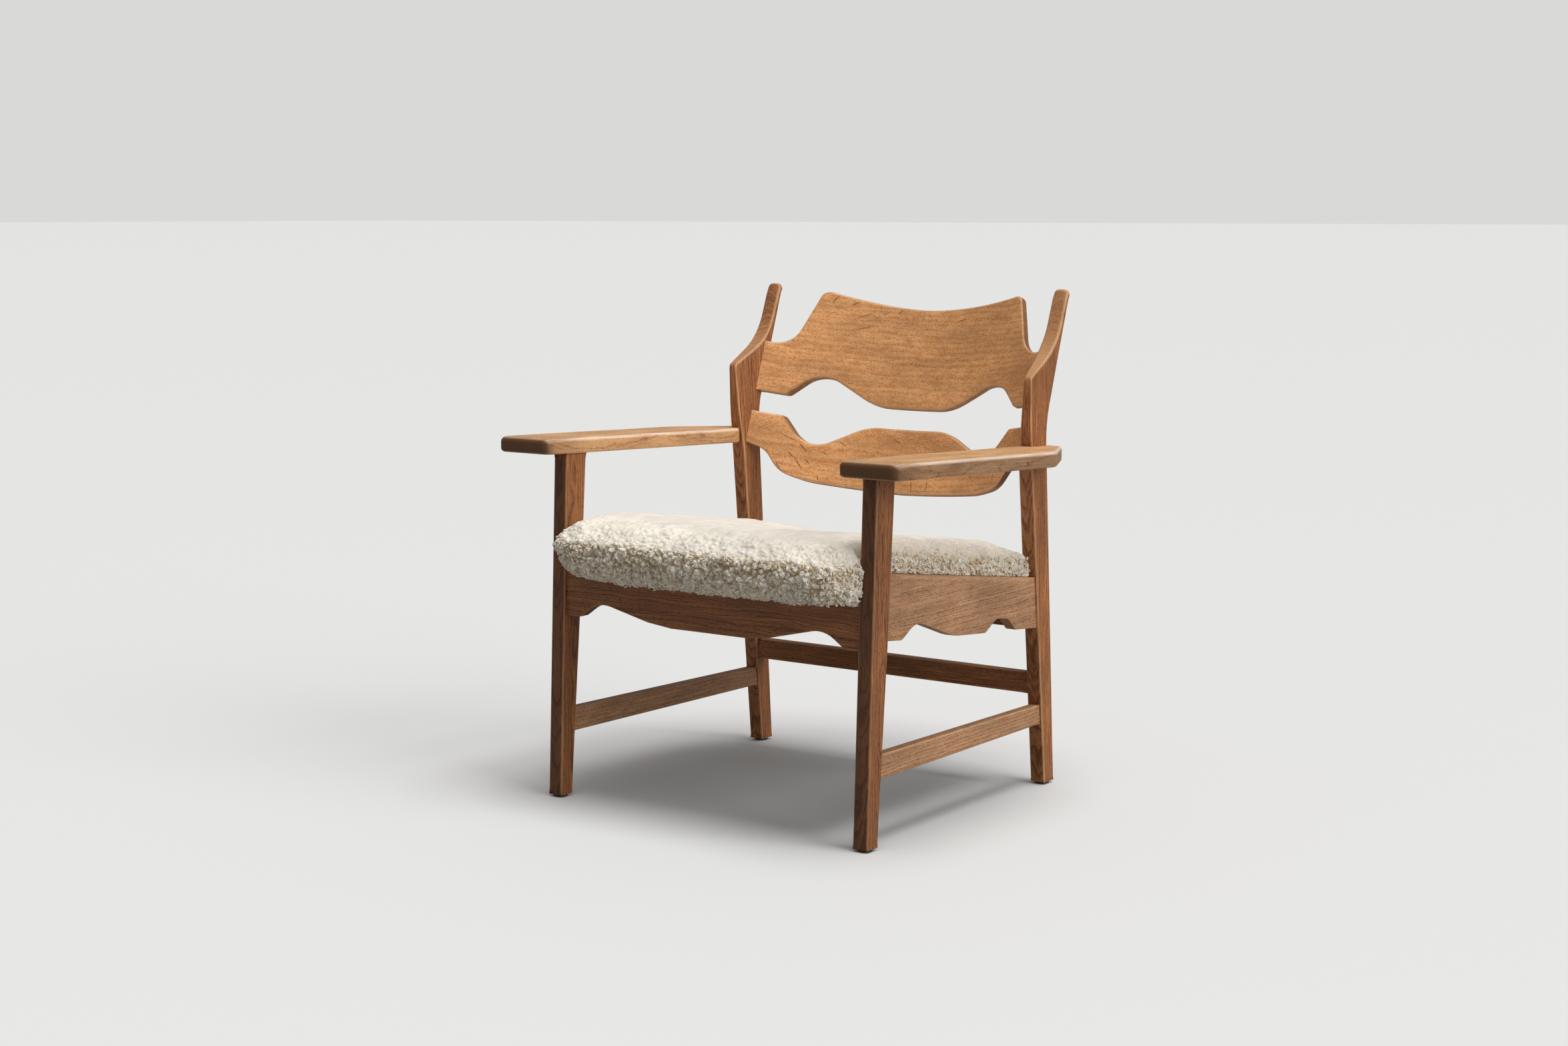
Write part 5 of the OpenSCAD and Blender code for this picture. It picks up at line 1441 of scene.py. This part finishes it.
# %% Sheepskin
def sheepskin():
    """Matt wool with a soft sheen; hairs are drawn 1.6 mm apart, coarser than real ones."""
    material, shader, tree = finish("curly_sheepskin", Roughness=0.95, IOR=1.5,
                                    Sheen_Weight=0.35, Sheen_Roughness=0.5)
    shader.inputs["Sheen Tint"].default_value = colour("#fff6e6")
    tone_value = add(tree, "Attribute", attribute_name="tone").outputs["Fac"]
    place = add(tree, "TexCoord").outputs["Object"]
    drift = add(tree, "TexNoise", {"Vector": place, "Scale": MM / 35, "Detail": 2.0})
    hair = add(tree, "TexNoise", {"Vector": place, "Scale": MM / 1.6, "Detail": 1.0, "Distortion": 1.2})
    tint = colour("#96744c")
    for low, high, hex_code in ((0.1, 0.6, "#e3d0ae"), (0.5, 1.0, "#fdf8ee")):
        share = add(tree, "MapRange", {"Value": tone_value, "From Min": low, "From Max": high})
        tint = add(tree, "Mix", {0: share, 6: tint, 7: colour(hex_code)}, **COLOURED).outputs[2]
    uneven = add(tree, "MapRange", {"Value": drift, "From Min": 0.3, "From Max": 0.7,
                                    "To Min": 0.88, "To Max": 1.06})
    tint = add(tree, "Mix", {0: 1.0, 6: tint, 7: uneven}, blend_type="MULTIPLY", **COLOURED).outputs[2]
    cover_with(tree, shader, tint, hair, 0.6, 1.2)
    return material


dress(sheepskin(), "sheepskin_seat")
print("fleece: hairs 1.6 mm apart")

# %% [markdown]
# What hides under the cover and behind the rails gets its finish too: old yellow foam,
# planed beech for the seat frame, the blocks and the dowels, zinc plated screws, woven jute
# straps, cotton canvas, and a black felted cloth underneath. Most are two colours with a
# pattern between them, so the pattern is all that each function makes.

# %% Patterns of the hidden parts
def two_tone(name, pattern, low, high, strength, depth_mm, **values):
    """A finish of two colours. `pattern` gets the tree and the object's own coordinates, and
    returns how much of the second colour shows, and the height."""
    material, shader, tree = finish(name, **values)
    share, height = pattern(tree, add(tree, "TexCoord").outputs["Object"])
    tint = add(tree, "Mix", {0: share, 6: colour(low), 7: colour(high)}, **COLOURED).outputs[2]
    cover_with(tree, shader, tint, height, strength, depth_mm)
    return material


def open_cells(tree, place):
    """Cells 1.2 mm wide, as in foam: pale where they are far from their middle."""
    pits = add(tree, "TexVoronoi", {"Vector": place, "Scale": MM / 1.2})
    return pits, pits


def streaked(*grain):
    """Planed wood; `grain` gives the length of the streaks in mm along each axis."""
    def pattern(tree, place):
        scaled = add(tree, "Mapping", {"Vector": place, "Scale": tuple(MM / length for length in grain)})
        streak = add(tree, "TexNoise", {"Vector": scaled, "Scale": 1.0, "Detail": 3.0})
        return streak, streak
    return pattern


def specked(size):
    """Specks of a size in mm, as on crystals of zinc, felt or scuffed plastic."""
    def pattern(tree, place):
        speck = add(tree, "TexNoise", {"Vector": place, "Scale": MM / size, "Detail": 2.0})
        return speck, speck
    return pattern


def woven(pitch):
    """Plain weave: two sets of threads `pitch` mm apart, each a wave across the other."""
    def pattern(tree, place):
        threads = {"Vector": place, "Scale": MM / pitch / 20, "Distortion": 0.4, "Detail": 1.0}
        warp, weft = [add(tree, "TexWave", threads, bands_direction=way).outputs["Fac"] for way in "XY"]
        return warp, add(tree, "Math", {0: warp, 1: weft}, operation="MULTIPLY")
    return pattern


print("patterns: foam, planed wood, specks and weave")

# %% [markdown]
# Each hidden part now gets its two colours. Apart from the foam and the glides, these nodes
# keep their solid model, as nobody sees them closely.

# %% Finishes of the hidden parts
def on_nodes(material, *nodes):
    """Gives a material to solid nodes that stay as they are."""
    for node in nodes:
        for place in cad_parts[node].material_slots:
            place.material = material


# Polyurethane foam, yellowed with age: open cells and no gloss
dress(two_tone("aged_foam", open_cells, "#b99a55", "#dcc383", 0.4, 0.8, Roughness=0.9), "seat_foam")
# Beech, planed and left bare: pale and dull, with fine straight streaks
beech = ("#b98a5e", "#e0bd92", 0.2, 0.4)
on_nodes(two_tone("beech_across", streaked(60, 2.5, 2.5), *beech, Roughness=0.6, IOR=1.45),
         "seat_frame_front", "seat_frame_rear", "arm_dowels", "corner_block_front_left",
         "corner_block_front_right", "corner_block_rear_left", "corner_block_rear_right")
on_nodes(two_tone("beech_along", streaked(2.5, 60, 2.5), *beech, Roughness=0.6, IOR=1.45),
         "seat_frame_left", "seat_frame_right")
# Steel screws, zinc plated: grey metal with a soft, uneven shine
on_nodes(two_tone("zinc_plated_steel", specked(0.8), "#a9a9a4", "#d2d2cc", 0.2, 0.3, Roughness=0.35,
                  Metallic=1.0), "corner_block_screws", "seat_screws")
# Jute straps: coarse brown threads, matt
on_nodes(two_tone("jute_webbing", woven(1.6), "#7d6444", "#b89c72", 0.5, 0.5, Roughness=0.9),
         "webbing_across", "webbing_along")
# Cotton canvas: cream threads 0.9 mm apart, drawn twice as coarse as real ones so they show
on_nodes(two_tone("cotton_canvas", woven(0.9), "#cfc4ad", "#e6dcc8", 0.5, 0.5, Roughness=0.9),
         "canvas_sheet")
# Felted cloth, dyed black: it swallows nearly all light
on_nodes(two_tone("black_felted_cloth", specked(1.2), "#1d1b1a", "#34302d", 0.2, 0.3, Roughness=0.95),
         "dust_cover")
# Nylon, moulded and scuffed by floors: nearly black, half dull
dress(two_tone("worn_nylon_glide", specked(1.5), "#1b1715", "#3a322c", 0.2, 0.3, Roughness=0.5, IOR=1.53),
      *[piece.name for piece in glides])
print("materials:", len(bpy.data.materials))

# %% [markdown]
# The studio is a plain pale floor under two broad lamps, one high above the chair and a
# weaker one to its right, with light from all round to open the shadows. Each lamp is a sun
# with a wide disc, so that the floor is lit evenly to the horizon and shadows stay soft.
# The floor looks pale to the camera, yet throws back less light than it shows, which keeps
# the undersides of the chair in shade.

# %% Floor and light
FLOOR_REACH = 150.0


def floor():
    """A square, FLOOR_REACH metres to each side, at the height of the glides' undersides."""
    mesh = bpy.data.meshes.new("floor")
    corners = [(x * FLOOR_REACH, y * FLOOR_REACH, 0) for x, y in ((-1, -1), (1, -1), (1, 1), (-1, 1))]
    mesh.from_pydata(corners, [], [(0, 1, 2, 3)])
    in_scene("floor", mesh)
    material, shader, tree = finish("painted_floor", Roughness=0.7)
    ray = add(tree, "LightPath").outputs["Is Camera Ray"]
    seen = add(tree, "Mix", {0: ray, 6: colour("#999896"), 7: colour("#e4e4e3")}, **COLOURED)
    tree.links.new(seen.outputs[2], shader.inputs["Base Color"])
    mesh.materials.append(material)


def sun(name, towards, disc, strength):
    """A lamp at infinity: its light falls along `towards`, from a disc of some degrees."""
    lamp = bpy.data.lights.new(name, "SUN")
    lamp.angle, lamp.energy = np.radians(disc), strength
    look(in_scene(name, lamp), Vector((0, 0, 0)), Vector(towards))


floor()
world = bpy.data.worlds.new("studio")
world.use_nodes = True
bpy.context.scene.world = world
tree = world.node_tree
ray = add(tree, "LightPath").outputs["Is Camera Ray"]
around_light = add(tree, "Background", {"Color": colour("#ffffff"), "Strength": 0.24})
backdrop = add(tree, "Background", {"Color": colour("#d9d9d8"), "Strength": 1.0})
both = add(tree, "MixShader", {0: ray, 1: around_light, 2: backdrop})
tree.links.new(both.outputs[0], tree.nodes["World Output"].inputs["Surface"])
sun("overhead", (-0.15, 0.02, -1.0), 32, 2.0)
sun("window_side", (-1.0, 0.0, -0.5), 40, 1.4)
bpy.context.scene.view_settings.view_transform = "Standard"
print("lamps:", [lamp.name for lamp in bpy.data.lights])
